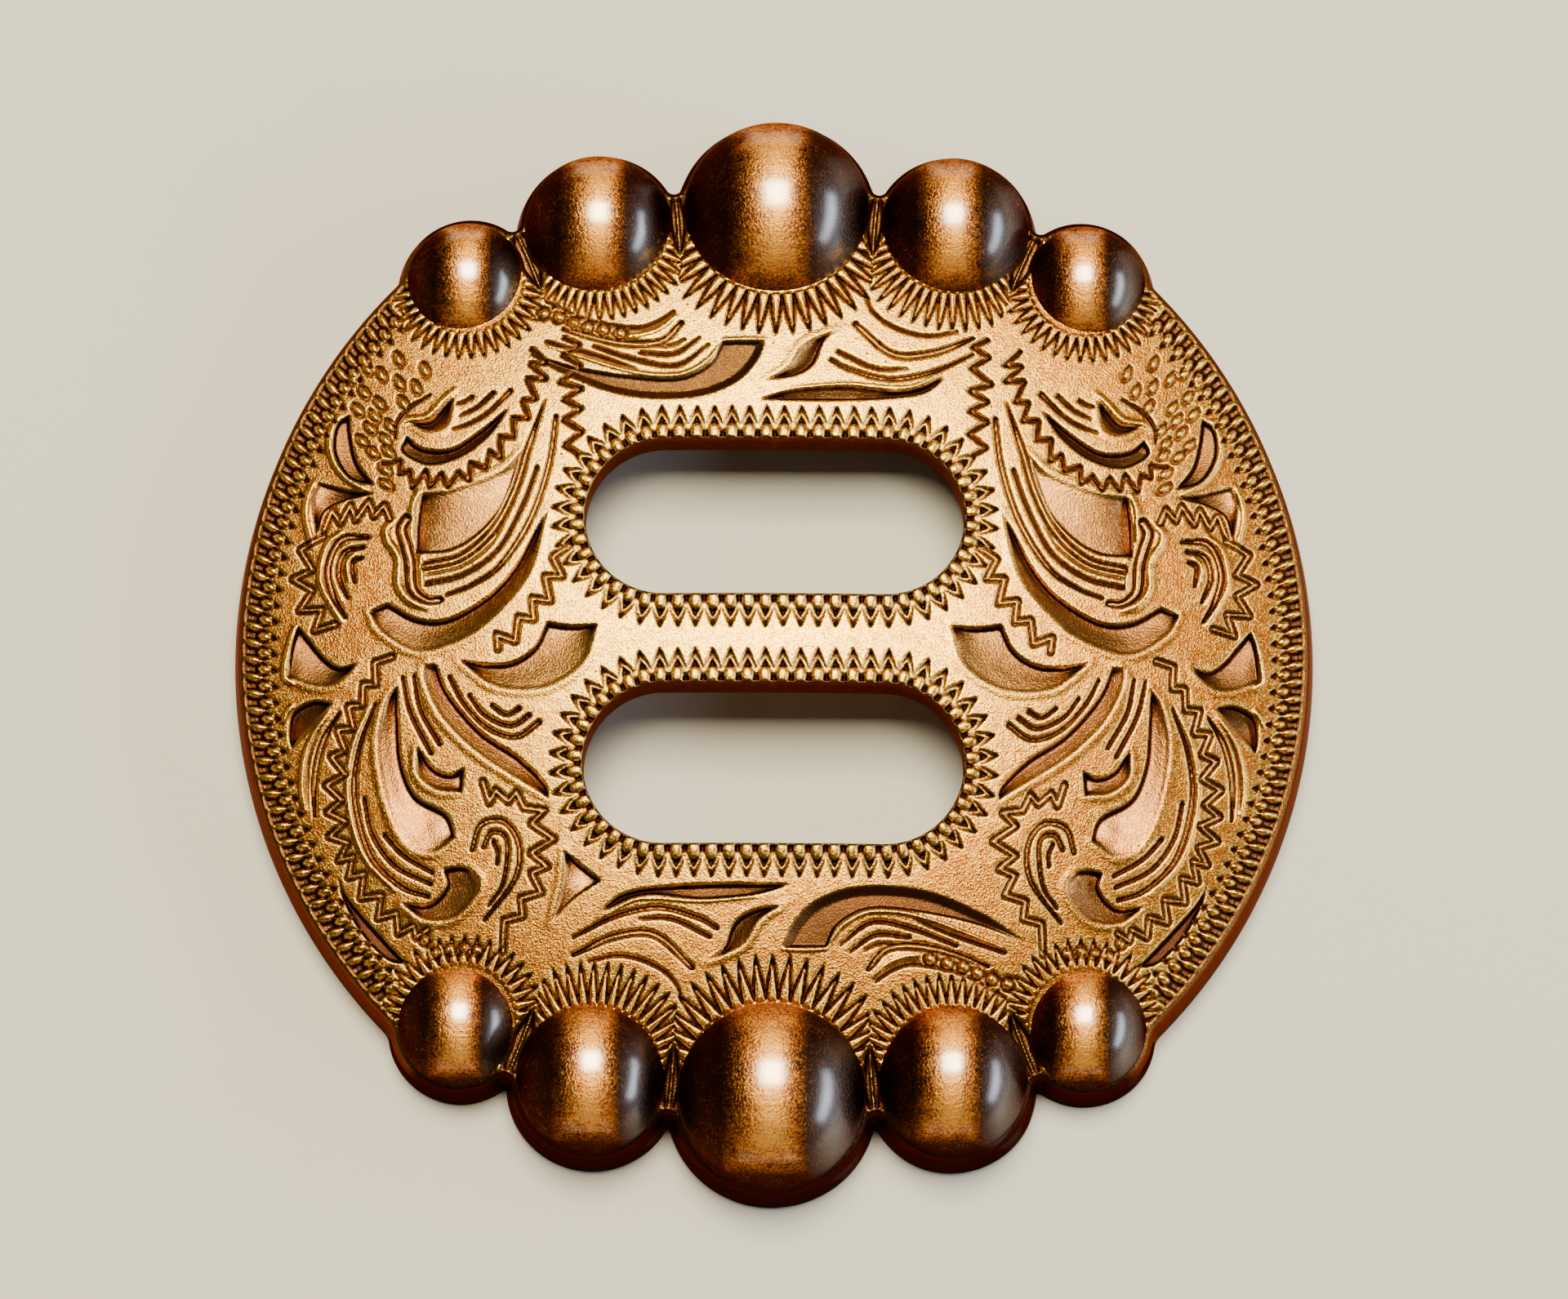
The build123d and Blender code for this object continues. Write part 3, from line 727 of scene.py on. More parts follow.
    def bead(self, radius, height, stretch, x, y):
        """A small bead in a shallow ring, stretched along a line from beside the far slot's end."""
        slot_end_x = 10.0
        slot_end_y = 3.0
        ring_share = 1.55 if stretch == 1 else 1.35
        ring_depth = 0.14
        ring_edge = 0.06
        sunk = 0.06
        place = self.window(np.array([(x, y)]), 2 * radius * stretch)
        lean = atan2(y - slot_end_y, x - np.sign(x) * slot_end_x)
        px = self.x[place] - x
        py = self.y[place] - y
        gap = np.hypot((px * cos(lean) + py * sin(lean)) / stretch, py * cos(lean) - px * sin(lean))
        ring = np.clip((ring_share * radius - gap) / ring_edge, 0, 1)
        dome = np.sqrt(np.clip(1 - (gap / radius) ** 2, 0, 1))
        self.deepen(place, ring_depth * ring, ring * (dome == 0))
        self.raised[place] = np.maximum(self.raised[place], dome * (height + sunk))

    def toothed_band(self, across, v):
        """Pointed cuts side by side, each with a bead in its mouth; v runs out to their tips."""
        mouth = 0.48
        bead_width = 0.66
        bead_middle = 0.22
        bead_reach = 0.3
        bead_height = 0.07
        thread_tip = 0.93
        thread_fall = 0.62
        thread_height = 0.85
        face_edge = self.tooth_tip - across * (self.tooth_tip - mouth)
        from_face = (face_edge - v) * 0.42
        from_bead = (np.hypot(across / bead_width, (v - bead_middle) / bead_reach) - 1) * 0.2
        recess = np.clip(np.minimum(from_face, from_bead) / self.tooth_wall, 0, 1)
        thread = thread_tip - across * thread_fall
        rib = np.clip(1 - (np.abs(v - thread) * 0.45 / 0.06) ** 2, 0, 1) * thread_height
        band = self.tooth_depth * recess * (1 - rib * np.clip(from_bead / 0.06, 0, 1))
        crest = np.sqrt(np.clip(-from_bead / 0.22, 0, 1)) * bead_height
        inside_band = (v > 0.02) & (v < self.tooth_tip)
        return np.where(inside_band, band, 0), np.where(inside_band, crest, 0)

    def slot_borders(self):
        """The toothed border round both slots, evenly divided half-way across it."""
        half_way = 0.6
        tooth_width = 0.6
        plain_edge = 0.03
        out, along = self.slot_gap(self.x, self.y)
        near = out < self.band
        quarter = self.slot_half + (self.slot_radius + half_way) * pi / 2
        pitch = quarter / round(quarter / tooth_width)
        past_end = (along - self.slot_half) * (1 + half_way / self.slot_radius)
        stretched = np.where(along > self.slot_half, self.slot_half + past_end, along)
        band, crest = self.toothed_band(sawtooth((stretched + pitch / 2) / pitch), out - plain_edge)
        self.deepen(near, np.where(out > 0, band, 0)[near], (band / self.tooth_depth)[near])
        self.raised[near] = np.maximum(self.raised, crest)[near]

    def rim_borders(self):
        """The toothed border along the left and right stretches of the rim."""
        inset = 0.42
        pitch = 0.63
        twist = 0.012
        tooth_length = 0.6
        last_angle = radians(43)
        fade_angle = 0.02
        radius = np.hypot(self.x, self.y)
        angle = np.arctan2(self.y, np.abs(self.x))
        v = self.radius - inset - radius
        across = sawtooth((angle + v * twist) * self.radius / pitch)
        fade = np.clip((last_angle - np.abs(angle)) / fade_angle, 0, 1)
        face_edge = self.tooth_tip - across * tooth_length
        recess = np.clip((face_edge - v) * 0.4 / self.tooth_wall, 0, 1) * np.clip((v + 0.02) / 0.06, 0, 1)
        cut = self.tooth_depth * recess * fade
        fill = np.zeros(v.shape)
        for share, (half_width, middle, half_length, height) in zip((across, 1 - across), self.rim_beads):
            bead = oval(share * pitch / 2, half_width, v - middle, half_length)
            fill = np.maximum(fill, bead * height)
        near = (v > -0.03) & (v < 1.3) & (fade > 0)
        self.deepen(near, cut[near], (recess * fade * (fill == 0))[near])
        self.raised[near] = np.maximum(self.raised, fill * fade)[near]

    def collars(self):
        """Pointed cuts that ray out round each berry, with a flute in the mouth of each cut."""
        short_reach = 0.85
        cut_depth = 0.2
        throat_depth = 0.3
        throat_width = 0.5
        tooth_share = 0.9
        flute_tip = 0.36
        flute_fall = 0.64
        flute_height = 0.06
        gaps = [np.hypot(self.x - x, self.y - y) - radius for x, y, radius, _, _ in self.berries]
        nearest = np.argmin(gaps, axis=0)
        first, second = np.partition(gaps, 1, axis=0)[:2]
        edge = np.clip((self.edge - 0.3) / 0.2, 0, 1)
        throat = np.clip((throat_width - second) / 0.12, 0, 1) * np.clip((self.edge - 0.1) / 0.1, 0, 1)
        seam = np.clip(1 - np.abs(second - first) / 0.09, 0, 1)
        self.deepen(..., throat_depth * throat * (1 - 0.7 * seam), throat)
        for number, (bx, by, radius, _, row) in enumerate(self.berries):
            start, tip, pitch = COLLARS[row]
            step = pitch / tip
            if row == 1 and bx * by < 0:
                tip = start + short_reach
            gap = gaps[number] + radius
            near = (gap < tip + 0.1) & (gap > radius - 0.2) & (nearest == number)
            gap = gap[near]
            inwards = atan2(-by, -bx)
            angle = np.arctan2(self.y[near] - by, self.x[near] - bx) - inwards
            across = sawtooth(angle / step)
            reach = tip - start
            slant = pitch / 2 / (reach * tooth_share)
            from_face = (tip - across * reach * tooth_share - gap) * slant
            from_flute = (gap - tip + reach * flute_tip + across / 0.6 * reach * flute_fall) * slant
            shown = edge[near] * np.clip((second[near] - 0.45) / 0.12, 0, 1)
            recess = np.clip(np.minimum(from_face, from_flute) / 0.045, 0, 1) * shown
            crest = np.clip(-from_flute / 0.1, 0, 1) * flute_height * shown
            self.deepen(near, cut_depth * recess, recess)
            self.raised[near] = np.maximum(self.raised[near], crest)

    def stepped_line(self, name, line):
        """A stepped line of even width; a barred one has a raised bar along every other step."""
        plain = name in PLAIN_STEPS
        depth = 0.16
        width = 0.24 if plain else 0.3
        corner = 0.09 if plain else 0.045
        bar_width = 0.16
        bar_height = 0.07
        self.groove(width, width, width, depth, line, corner)
        for ends in zip(line[1::2], line[2::2]) if name in BARRED_STEPS else ():
            self.ridge(bar_width, bar_height, np.array(ends))

    def engrave(self):
        """Every cut and ridge of the face."""
        for name, sides, turn in placed(SIDE_POCKETS, PANEL_POCKETS):
            self.pocket(sides, turn, DULL_FLOORS.get(name, 0.0))
        self.pocket(CORNER_POCKET, 1)
        for _, (start, middle, end, depth, points), turn in placed(SIDE_GROOVES, PANEL_GROOVES):
            self.groove(start, middle, end, depth, smooth_line(points) * turn)
        for name, corners, turn in placed(STEPPED_LINES):
            self.stepped_line(name, np.array(corners) * turn)
        for _, (width, height, points), turn in placed(SIDE_RIDGES, PANEL_RIDGES):
            self.ridge(width, height, smooth_line(points) * turn)
        for _, (radius, height, stretch, places), turn in placed(SIDE_BEADS, PANEL_BEADS):
            for x, y in places:
                self.bead(radius, height, stretch, x * turn[0], y * turn[1])
        self.collars()
        self.slot_borders()
        self.rim_borders()

    def relief(self):
        """The finished relief, softened as a casting is, and masks of its stained floors, of the antiquing
        and painted shade at its walls, and of its crests.
        """
        casting_blur = 0.026
        mask_blur = 0.03
        near_blur = 0.07
        wide_blur = 0.14
        crest_height = 0.03
        steep = 0.7

        def soft(field, radius):
            return blurred(field, radius / self.pitch)

        relief = soft((self.raised - self.cut) * sizes().cut_scale, casting_blur)
        slope = np.hypot(*np.gradient(relief, self.pitch))
        near = soft(relief, near_blur)
        wide = soft(relief, wide_blur)
        # Painted shade at the foot of each wall and down steep slopes, on top of the antiquing that lies
        # there
        foot = np.maximum((near - relief - 0.008) / 0.026, (slope - steep) * (wide > relief))
        masks = {
            "stain": soft(self.tint, mask_blur),
            "wall": np.maximum(np.clip(foot, 0, 1), soft(self.dull, mask_blur)),
            # Crests: paler rubbed metal and painted highlight along the raised edges
            "crest": np.clip((relief - near) / crest_height, 0, 1),
        }
        return relief, masks


def sampled(grid, face, x, y):
    """A grid's value at any place, between its four nearest points."""
    i = np.clip((x + face.reach) / face.pitch, 0, grid.shape[1] - 1.001)
    j = np.clip((y + face.reach) / face.pitch, 0, grid.shape[0] - 1.001)
    i0 = i.astype(int)
    j0 = j.astype(int)
    fi = i - i0
    fj = j - j0
    lower = grid[j0, i0] * (1 - fi) + grid[j0, i0 + 1] * fi
    upper = grid[j0 + 1, i0] * (1 - fi) + grid[j0 + 1, i0 + 1] * fi
    return lower * (1 - fj) + upper * fj


# The casting's mesh


def face_sheet(face, shoulder):
    """Triangles of the grid that lie on the face, with their rim moved onto the face's true edges."""
    rows, columns = face.x.shape
    number = np.arange(rows * columns).reshape(rows, columns)
    a, b = number[:-1, :-1].ravel(), number[:-1, 1:].ravel()
    c, d = number[1:, 1:].ravel(), number[1:, :-1].ravel()
    flip = (np.add.outer(np.arange(rows - 1), np.arange(columns - 1)) % 2).ravel().astype(bool)
    first = np.where(flip[:, None], np.stack([a, b, d], 1), np.stack([a, b, c], 1))
    second = np.where(flip[:, None], np.stack([b, c, d], 1), np.stack([a, c, d], 1))
    triangles = np.vstack([first, second])
    x, y = face.x.ravel().copy(), face.y.ravel().copy()

    def gap(px, py):
        return np.minimum(face.edge_gap(px, py) - shoulder, face.slot_gap(px, py)[0] - SLOT_ROUND)

    triangles = triangles[gap(x[triangles].mean(axis=1), y[triangles].mean(axis=1)) > 0]
    used, triangles = np.unique(triangles, return_inverse=True)
    triangles = triangles.reshape(-1, 3)
    x, y = x[used], y[used]
    edges = np.vstack([triangles[:, [0, 1]], triangles[:, [1, 2]], triangles[:, [2, 0]]])
    keys, counts = np.unique(np.sort(edges, axis=1), axis=0, return_counts=True)
    lone = {tuple(key) for key in keys[counts == 1]}
    rim_edges = np.array([edge for edge in map(tuple, edges) if tuple(sorted(edge)) in lone])
    rim = np.unique(rim_edges)
    for _ in range(3):
        here = gap(x[rim], y[rim])
        slope_x = (gap(x[rim] + SLOPE_STEP, y[rim]) - here) / SLOPE_STEP
        slope_y = (gap(x[rim], y[rim] + SLOPE_STEP) - here) / SLOPE_STEP
        steepness = np.maximum(slope_x**2 + slope_y**2, 0.25)
        x[rim] -= here * slope_x / steepness
        y[rim] -= here * slope_y / steepness
    return x, y, triangles, rim_edges, rim


def wall_rings(face, x, y, outer, shoulder):
    """Rings that carry the face's rim down to the back: (x, y, z) of each ring in turn."""

    def gap(px, py):
        return face.edge_gap(px, py) if outer else face.slot_gap(px, py)[0]

    slope_x = (gap(x + SLOPE_STEP, y) - gap(x - SLOPE_STEP, y)) / (2 * SLOPE_STEP)
    slope_y = (gap(x, y + SLOPE_STEP) - gap(x, y - SLOPE_STEP)) / (2 * SLOPE_STEP)
    steepness = np.hypot(slope_x, slope_y)
    nx, ny = -slope_x / steepness, -slope_y / steepness
    radius = sizes().edge_round / MM if outer else SLOT_ROUND
    top = face.dome(x, y)
    rings = []
    for turn in np.radians((18, 36, 54, 72, 90) if outer else (30, 60, 90)):
        out = radius * sin(turn)
        rings.append((x + nx * out, y + ny * out, top - radius * (1 - cos(turn))))
    if outer:
        lean = shoulder - radius
        foot = top - radius
        for share in (0.5, 1.0):
            out = radius + lean * share
            rings.append((x + nx * out, y + ny * out, foot * (1 - share)))
    else:
        px, py = x + nx * radius, y + ny * radius
        rings.append((px, py, hollow(px, py)))
    return rings


def hollow(x, y):
    """Height of the hollow back above the floor, nought on the flat foot."""
    size = sizes()
    reach = RADIUS - size.foot / MM
    rise = (size.crown - size.wall) / MM
    ball = (reach**2 + rise**2) / (2 * rise)
    return np.maximum(rise - ball + np.sqrt(np.maximum(ball**2 - x**2 - y**2, 0)), 0)


def back_sheet(face, px, py, edges):
    """Triangles of the back between the outer foot and the slots, from the points of their last rings."""
    spacing = 0.6
    clearance = 0.3
    ring_step = 1.5
    coarse = np.arange(-face.radius, face.radius, spacing)
    gx, gy = (field.ravel() for field in np.meshgrid(coarse, coarse))
    keep = np.minimum(face.edge_gap(gx, gy), face.slot_gap(gx, gy)[0]) > clearance
    ring = np.radians(np.arange(0, 360, ring_step))
    foot = face.radius - sizes().foot / MM
    gx = np.concatenate([gx[keep], foot * np.cos(ring)])
    gy = np.concatenate([gy[keep], foot * np.sin(ring)])
    points = [Vector(p) for p in zip(np.concatenate([px, gx]), np.concatenate([py, gy]))]
    made = geometry.delaunay_2d_cdt(points, [tuple(map(int, e)) for e in edges], [], 0, 1e-6)
    corners, faces, origins = made[0], made[2], made[3]
    corners = np.array([tuple(c) for c in corners])
    faces = np.array(faces)
    centre = corners[faces].mean(axis=1)
    within = np.minimum(face.edge_gap(*centre.T), face.slot_gap(*centre.T)[0]) > 0
    return corners, faces[within], origins


def casting_mesh(face, relief):
    """One closed mesh of the casting without its berries, in millimetres."""
    size = sizes()
    radius = size.edge_round / MM
    wall_height = size.rim / MM - radius
    shoulder = radius + wall_height * WALL_DRAFT
    x, y, triangles, rim_edges, rim = face_sheet(face, shoulder)
    z = face.dome(x, y) + sampled(relief, face, x, y)
    vertices = [np.stack([x, y, z], 1)]
    faces = [triangles]
    count = len(x)
    outer = face.slot_gap(x, y)[0] > 3 * SLOT_ROUND
    last_points = []
    last_edges = []
    for is_outer in (True, False):
        ring = rim[outer[rim] == is_outer]
        number = np.full(len(x), -1)
        number[ring] = np.arange(len(ring))
        edges = rim_edges[outer[rim_edges[:, 0]] == is_outer]
        below = ring.copy()
        for rx, ry, rz in wall_rings(face, x[ring], y[ring], is_outer, shoulder):
            vertices.append(np.stack([rx, ry, rz], 1))
            here = np.arange(count, count + len(ring))
            a, b = edges[:, 0], edges[:, 1]
            upper_a, upper_b = below[number[a]], below[number[b]]
            lower_a, lower_b = here[number[a]], here[number[b]]
            faces.append(np.stack([upper_b, upper_a, lower_a], 1))
            faces.append(np.stack([upper_b, lower_a, lower_b], 1))
            below = here
            count += len(ring)
        last_points.append((below, rx, ry))
        last_edges.append(number[edges] + sum(len(p[0]) for p in last_points[:-1]))
    ids = np.concatenate([p[0] for p in last_points])
    px = np.concatenate([p[1] for p in last_points])
    py = np.concatenate([p[2] for p in last_points])
    corners, back, origins = back_sheet(face, px, py, np.vstack(last_edges))
    index = np.empty(len(corners), int)
    added = []
    for i, origin in enumerate(origins):
        known = [o for o in origin if o < len(ids)]
        if known:
            index[i] = ids[known[0]]
        else:
            index[i] = count + len(added)
            added.append((*corners[i], hollow(*corners[i])))
    vertices.append(np.array(added))
    faces.append(index[back][:, ::-1])
    return np.vstack(vertices), np.vstack(faces)


def scored(mesh, cuts):
    """Add edges to a mesh where planes across X pass through it."""
    shape = bmesh.new()
    shape.from_mesh(mesh)
    for cut in cuts:
        whole = shape.verts[:] + shape.edges[:] + shape.faces[:]
        bmesh.ops.bisect_plane(shape, geom=whole, plane_co=(cut * MM, 0, 0), plane_no=(1, 0, 0), dist=1e-8)
    bmesh.ops.triangulate(shape, faces=[face for face in shape.faces if len(face.verts) > 3])
    shape.to_mesh(mesh)
    shape.free()


def strips(mesh, cuts):
    """The mesh parted at planes across X: each strip's vertices, faces and normals, left to right."""
    scored(mesh, cuts)
    spots = coordinates(mesh)
    normals = np.empty(len(mesh.vertices) * 3, np.float32)
    mesh.vertex_normals.foreach_get("vector", normals)
    normals = normals.reshape(-1, 3)
    corners = np.empty(len(mesh.loops), np.int32)
    mesh.loops.foreach_get("vertex_index", corners)
    corners = corners.reshape(-1, 3)
    strip = np.searchsorted(cuts, spots[corners, 0].mean(axis=1))
    for number in range(len(cuts) + 1):
        used, faces = np.unique(corners[strip == number], return_inverse=True)
        yield spots[used], faces.reshape(-1, 3), normals[used]


def capped(mesh):
    """Close the open ends of a mesh with flat caps."""
    shape = bmesh.new()
    shape.from_mesh(mesh)
    open_edges = [edge for edge in shape.edges if edge.is_boundary]
    caps = bmesh.ops.holes_fill(shape, edges=open_edges, sides=0)["faces"]
    bmesh.ops.triangulate(shape, faces=caps)
    shape.to_mesh(mesh)
    shape.free()


def new_mesh(name, vertices, faces):
    """A mesh from arrays, in metres."""
    mesh = bpy.data.meshes.new(name)
    mesh.vertices.add(len(vertices))
    mesh.vertices.foreach_set("co", np.asarray(vertices * MM, np.float32).ravel())
    mesh.loops.add(faces.size)
    mesh.loops.foreach_set("vertex_index", faces.astype(np.int32).ravel())
    mesh.polygons.add(len(faces))
    mesh.polygons.foreach_set("loop_start", np.arange(0, faces.size, 3, dtype=np.int32))
    mesh.update(calc_edges=True)
    mesh.validate()
    return mesh


def linked(name, data):
    """An object of this mesh, camera or light in the scene."""
    item = bpy.data.objects.new(name, data)
    bpy.context.scene.collection.objects.link(item)
    return item


def apply_modifiers(item):
    """Make an object's modifiers part of its mesh."""
    graph = bpy.context.evaluated_depsgraph_get()
    mesh = bpy.data.meshes.new_from_object(item.evaluated_get(graph))
    item.modifiers.clear()
    item.data = mesh


def coordinates(mesh):
    """The vertices of a mesh, in millimetres."""
    flat = np.empty(len(mesh.vertices) * 3, np.float32)
    mesh.vertices.foreach_get("co", flat)
    return flat.reshape(-1, 3).astype(float) / MM


def paint(mesh, name, values):
    """A value for each vertex, for the materials to read."""
    layer = mesh.attributes.new(name, "FLOAT", "POINT")
    layer.data.foreach_set("value", np.asarray(values, np.float32))


def shade_smooth(mesh):
    """Smooth shading all over."""
    mesh.polygons.foreach_set("use_smooth", np.ones(len(mesh.polygons), bool))


# Materials


def node(tree, kind, **values):
    """A new shader node with its settings and sockets filled in; a socket is named by its label."""
    made = tree.nodes.new(kind)
    for key, value in values.items():
        if hasattr(made, key):
            setattr(made, key, value)
        else:
            made.inputs[key.replace("_", " ")].default_value = value
    return made


def math_node(tree, operation, first, second, clamp=False):
    """A maths node; each operand is a number or a socket."""
    made = tree.nodes.new("ShaderNodeMath")
    made.operation = operation
    made.use_clamp = clamp
    for socket, operand in zip(made.inputs, (first, second)):
        if isinstance(operand, (int, float)):
            socket.default_value = operand
        else:
            tree.links.new(operand, socket)
    return made.outputs[0]


def times(tree, first, second):
    """A product."""
    return math_node(tree, "MULTIPLY", first, second)


def plus(tree, first, second, clamp=False):
    """A sum."""
    return math_node(tree, "ADD", first, second, clamp)


def mixed(tree, share, first, second):
    """A colour between two others, each a colour or a socket; the share is a socket."""
    made = tree.nodes.new("ShaderNodeMix")
    made.data_type = "RGBA"
    tree.links.new(share, made.inputs[0])
    for socket, operand in ((made.inputs[6], first), (made.inputs[7], second)):
        if isinstance(operand, bpy.types.NodeSocket):
            tree.links.new(operand, socket)
        else:
            socket.default_value = (*operand, 1.0)
    return made.outputs[2]


def ranged(tree, value, low, high, to_low=0.0, to_high=1.0):
    """A value spread from one range to another, and held inside it."""
    made = tree.nodes.new("ShaderNodeMapRange")
    tree.links.new(value, made.inputs[0])
    for socket, number in zip(list(made.inputs)[1:5], (low, high, to_low, to_high)):
        socket.default_value = number
    return made.outputs[0]


def group(name, inputs, outputs):
    """An empty node group with these inputs, each with its default, and these outputs."""
    tree = bpy.data.node_groups.new(name, "ShaderNodeTree")
    for label, default in inputs.items():
        socket = tree.interface.new_socket(label, in_out="INPUT", socket_type="NodeSocketFloat")
        socket.default_value = default
    for label in outputs:
        tree.interface.new_socket(label, in_out="OUTPUT", socket_type="NodeSocketFloat")
    return tree, tree.nodes.new("NodeGroupInput").outputs, tree.nodes.new("NodeGroupOutput").inputs


def cast_grain():
    """Fine lumps and pits of a plated casting: a height, a mask of the pits and a broad cloud."""
    tree, given, out = group("cast_grain", {"Scale": 1.0}, ("Height", "Pits", "Cloud"))
    place = node(tree, "ShaderNodeTexCoord").outputs["Object"]
    scaled = node(tree, "ShaderNodeVectorMath", operation="SCALE")
    tree.links.new(place, scaled.inputs[0])
    tree.links.new(given["Scale"], scaled.inputs["Scale"])
    fine = node(tree, "ShaderNodeTexNoise", Scale=14000.0, Detail=2.0, Roughness=0.6)
    coarse = node(tree, "ShaderNodeTexNoise", Scale=2600.0, Detail=2.0, Roughness=0.5)
    cloud = node(tree, "ShaderNodeTexNoise", Scale=260.0, Detail=4.0, Roughness=0.6)
    pits = node(tree, "ShaderNodeTexVoronoi", Scale=3300.0, Randomness=1.0)
    for texture in (fine, coarse, cloud, pits):
        tree.links.new(scaled.outputs[0], texture.inputs["Vector"])
    both = plus(tree, times(tree, fine.outputs[0], 1.6), times(tree, coarse.outputs[0], 0.6))
    spots = ranged(tree, pits.outputs["Distance"], 0.16, 0.05)
    here = ranged(tree, coarse.outputs[0], 0.56, 0.66)
    pitted = times(tree, spots, here)
    tree.links.new(math_node(tree, "SUBTRACT", both, times(tree, pitted, 0.9)), out["Height"])
    tree.links.new(pitted, out["Pits"])
    tree.links.new(cloud.outputs[0], out["Cloud"])
    return tree


def brush_marks():
    """Streaks of a wire brush along X, as a height."""
    tree, given, out = group("brush_marks", {"Turn": 0.0, "Fineness": 1.0}, ("Height",))
    place = node(tree, "ShaderNodeTexCoord").outputs["Object"]
    turned = node(tree, "ShaderNodeVectorRotate", rotation_type="Z_AXIS")
    tree.links.new(place, turned.inputs["Vector"])
    tree.links.new(given["Turn"], turned.inputs["Angle"])
    scaled = node(tree, "ShaderNodeVectorMath", operation="SCALE")
    tree.links.new(turned.outputs[0], scaled.inputs[0])
    tree.links.new(given["Fineness"], scaled.inputs["Scale"])
    drawn = node(tree, "ShaderNodeVectorMath", operation="MULTIPLY")
    drawn.inputs[1].default_value = (350.0, 7500.0, 900.0)
    tree.links.new(scaled.outputs[0], drawn.inputs[0])
    streaks = node(tree, "ShaderNodeTexNoise", Scale=1.0, Detail=3.0, Roughness=0.65)
    tree.links.new(drawn.outputs[0], streaks.inputs["Vector"])
    tree.links.new(streaks.outputs[0], out["Height"])
    return tree


def placed_group(tree, maker, **values):
    """A node group, made by its first user, placed in a material with its own values."""
    item = tree.nodes.new("ShaderNodeGroup")
    item.node_tree = bpy.data.node_groups.get(maker.__name__) or maker()
    for key, value in values.items():
        item.inputs[key].default_value = value
    return item


def new_material(name):
    """A material with an empty node tree, its Principled shader and its output."""
    material = bpy.data.materials.new(name)
    material.use_nodes = True
    tree = material.node_tree
    tree.nodes.clear()
    shader = tree.nodes.new("ShaderNodeBsdfPrincipled")
    end = tree.nodes.new("ShaderNodeOutputMaterial")
    tree.links.new(shader.outputs[0], end.inputs[0])
    return material, tree, shader


def bumped(tree, shader, height, strength, depth):
    """Feed a height to the shader's normal."""
    bump = node(tree, "ShaderNodeBump", Strength=strength, Distance=depth * MM)
    tree.links.new(height, bump.inputs["Height"])
    tree.links.new(bump.outputs[0], shader.inputs["Normal"])


def painted(tree, name):
    """The value that the mesh carries under this name."""
    return node(tree, "ShaderNodeAttribute", attribute_name=name).outputs["Fac"]


def engraved_copper():
    """Brushed copper plate with cast grain: a painted highlight of paler gold round the crown and along the
    crests, tan floors, and near-black antiquing with painted shade in the cuts.
    """
    look = finish()
    material, tree, shader = new_material("engraved_copper")
    grain = placed_group(tree, cast_grain)
    brush = placed_group(tree, brush_marks, Turn=radians(-24), Fineness=0.9)
    cross = placed_group(tree, brush_marks, Turn=radians(37), Fineness=0.55)
    stain = painted(tree, "stain")
    wall = painted(tree, "wall")
    crest = painted(tree, "crest")
    place = node(tree, "ShaderNodeTexCoord").outputs["Object"]
    across = node(tree, "ShaderNodeSeparateXYZ")
    tree.links.new(place, across.inputs[0])
    cloudy = times(tree, grain.outputs["Cloud"], 8 * MM)
    right = ranged(tree, plus(tree, across.outputs["X"], cloudy), 13 * MM, 22 * MM)
    left = ranged(tree, math_node(tree, "SUBTRACT", across.outputs["X"], cloudy), -10 * MM, -19 * MM)
    redder = plus(tree, right, left)
    # Painted highlight: paler gold metal round the spot where the key light's reflection centres, fading out
    # towards the rim
    off_highlight = node(tree, "ShaderNodeVectorMath", operation="DISTANCE")
    off_highlight.inputs[1].default_value = (-2 * MM, 4 * MM, 4 * MM)
    tree.links.new(place, off_highlight.inputs[0])
    highlighted = ranged(tree, plus(tree, off_highlight.outputs["Value"], cloudy), 19 * MM, 10 * MM)
    warm = mixed(tree, highlighted, look.copper, look.gold)
    warm = mixed(tree, times(tree, redder, 0.8), warm, look.red)
    # Painted highlight along the crests, over the paler rubbed metal of the raised edges
    warm = mixed(tree, times(tree, crest, 0.95), warm, look.gold)
    valley = ranged(tree, grain.outputs["Height"], 1.12, 0.92)
    warm = mixed(tree, times(tree, valley, 0.75), warm, look.red)
    warm = mixed(tree, ranged(tree, grain.outputs["Height"], 1.12, 1.4, 0.0, 0.7), warm, look.gold)
    speckle = ranged(tree, grain.outputs["Height"], 0.85, 1.35, 0.15, -0.45)
    floor = plus(tree, stain, times(tree, stain, speckle), clamp=True)
    colour_with_painted_light = mixed(tree, times(tree, floor, 0.95), warm, look.tan)
    # Patina of the antiquing in the cuts, darkened further as painted shade at the walls
    dark = times(tree, wall, ranged(tree, stain, 0.0, 0.4, 0.75, 1.0))
    dark = math_node(tree, "MAXIMUM", dark, times(tree, grain.outputs["Pits"], 0.7))
    tree.links.new(mixed(tree, dark, colour_with_painted_light, look.patina), shader.inputs["Base Color"])
    rough = ranged(tree, floor, 0.0, 1.0, look.gloss, look.gloss + 0.03)
    tree.links.new(plus(tree, rough, times(tree, dark, 0.1)), shader.inputs["Roughness"])
    shader.inputs["Metallic"].default_value = 1.0
    shader.inputs["Specular Tint"].default_value = (0.45, 0.2, 0.1, 1.0)
    marks = plus(tree, times(tree, brush.outputs["Height"], 0.1), times(tree, cross.outputs["Height"], 0.08))
    height = plus(tree, marks, times(tree, grain.outputs["Height"], 0.6))
    bumped(tree, shader, height, 0.9, 0.026)
    return material


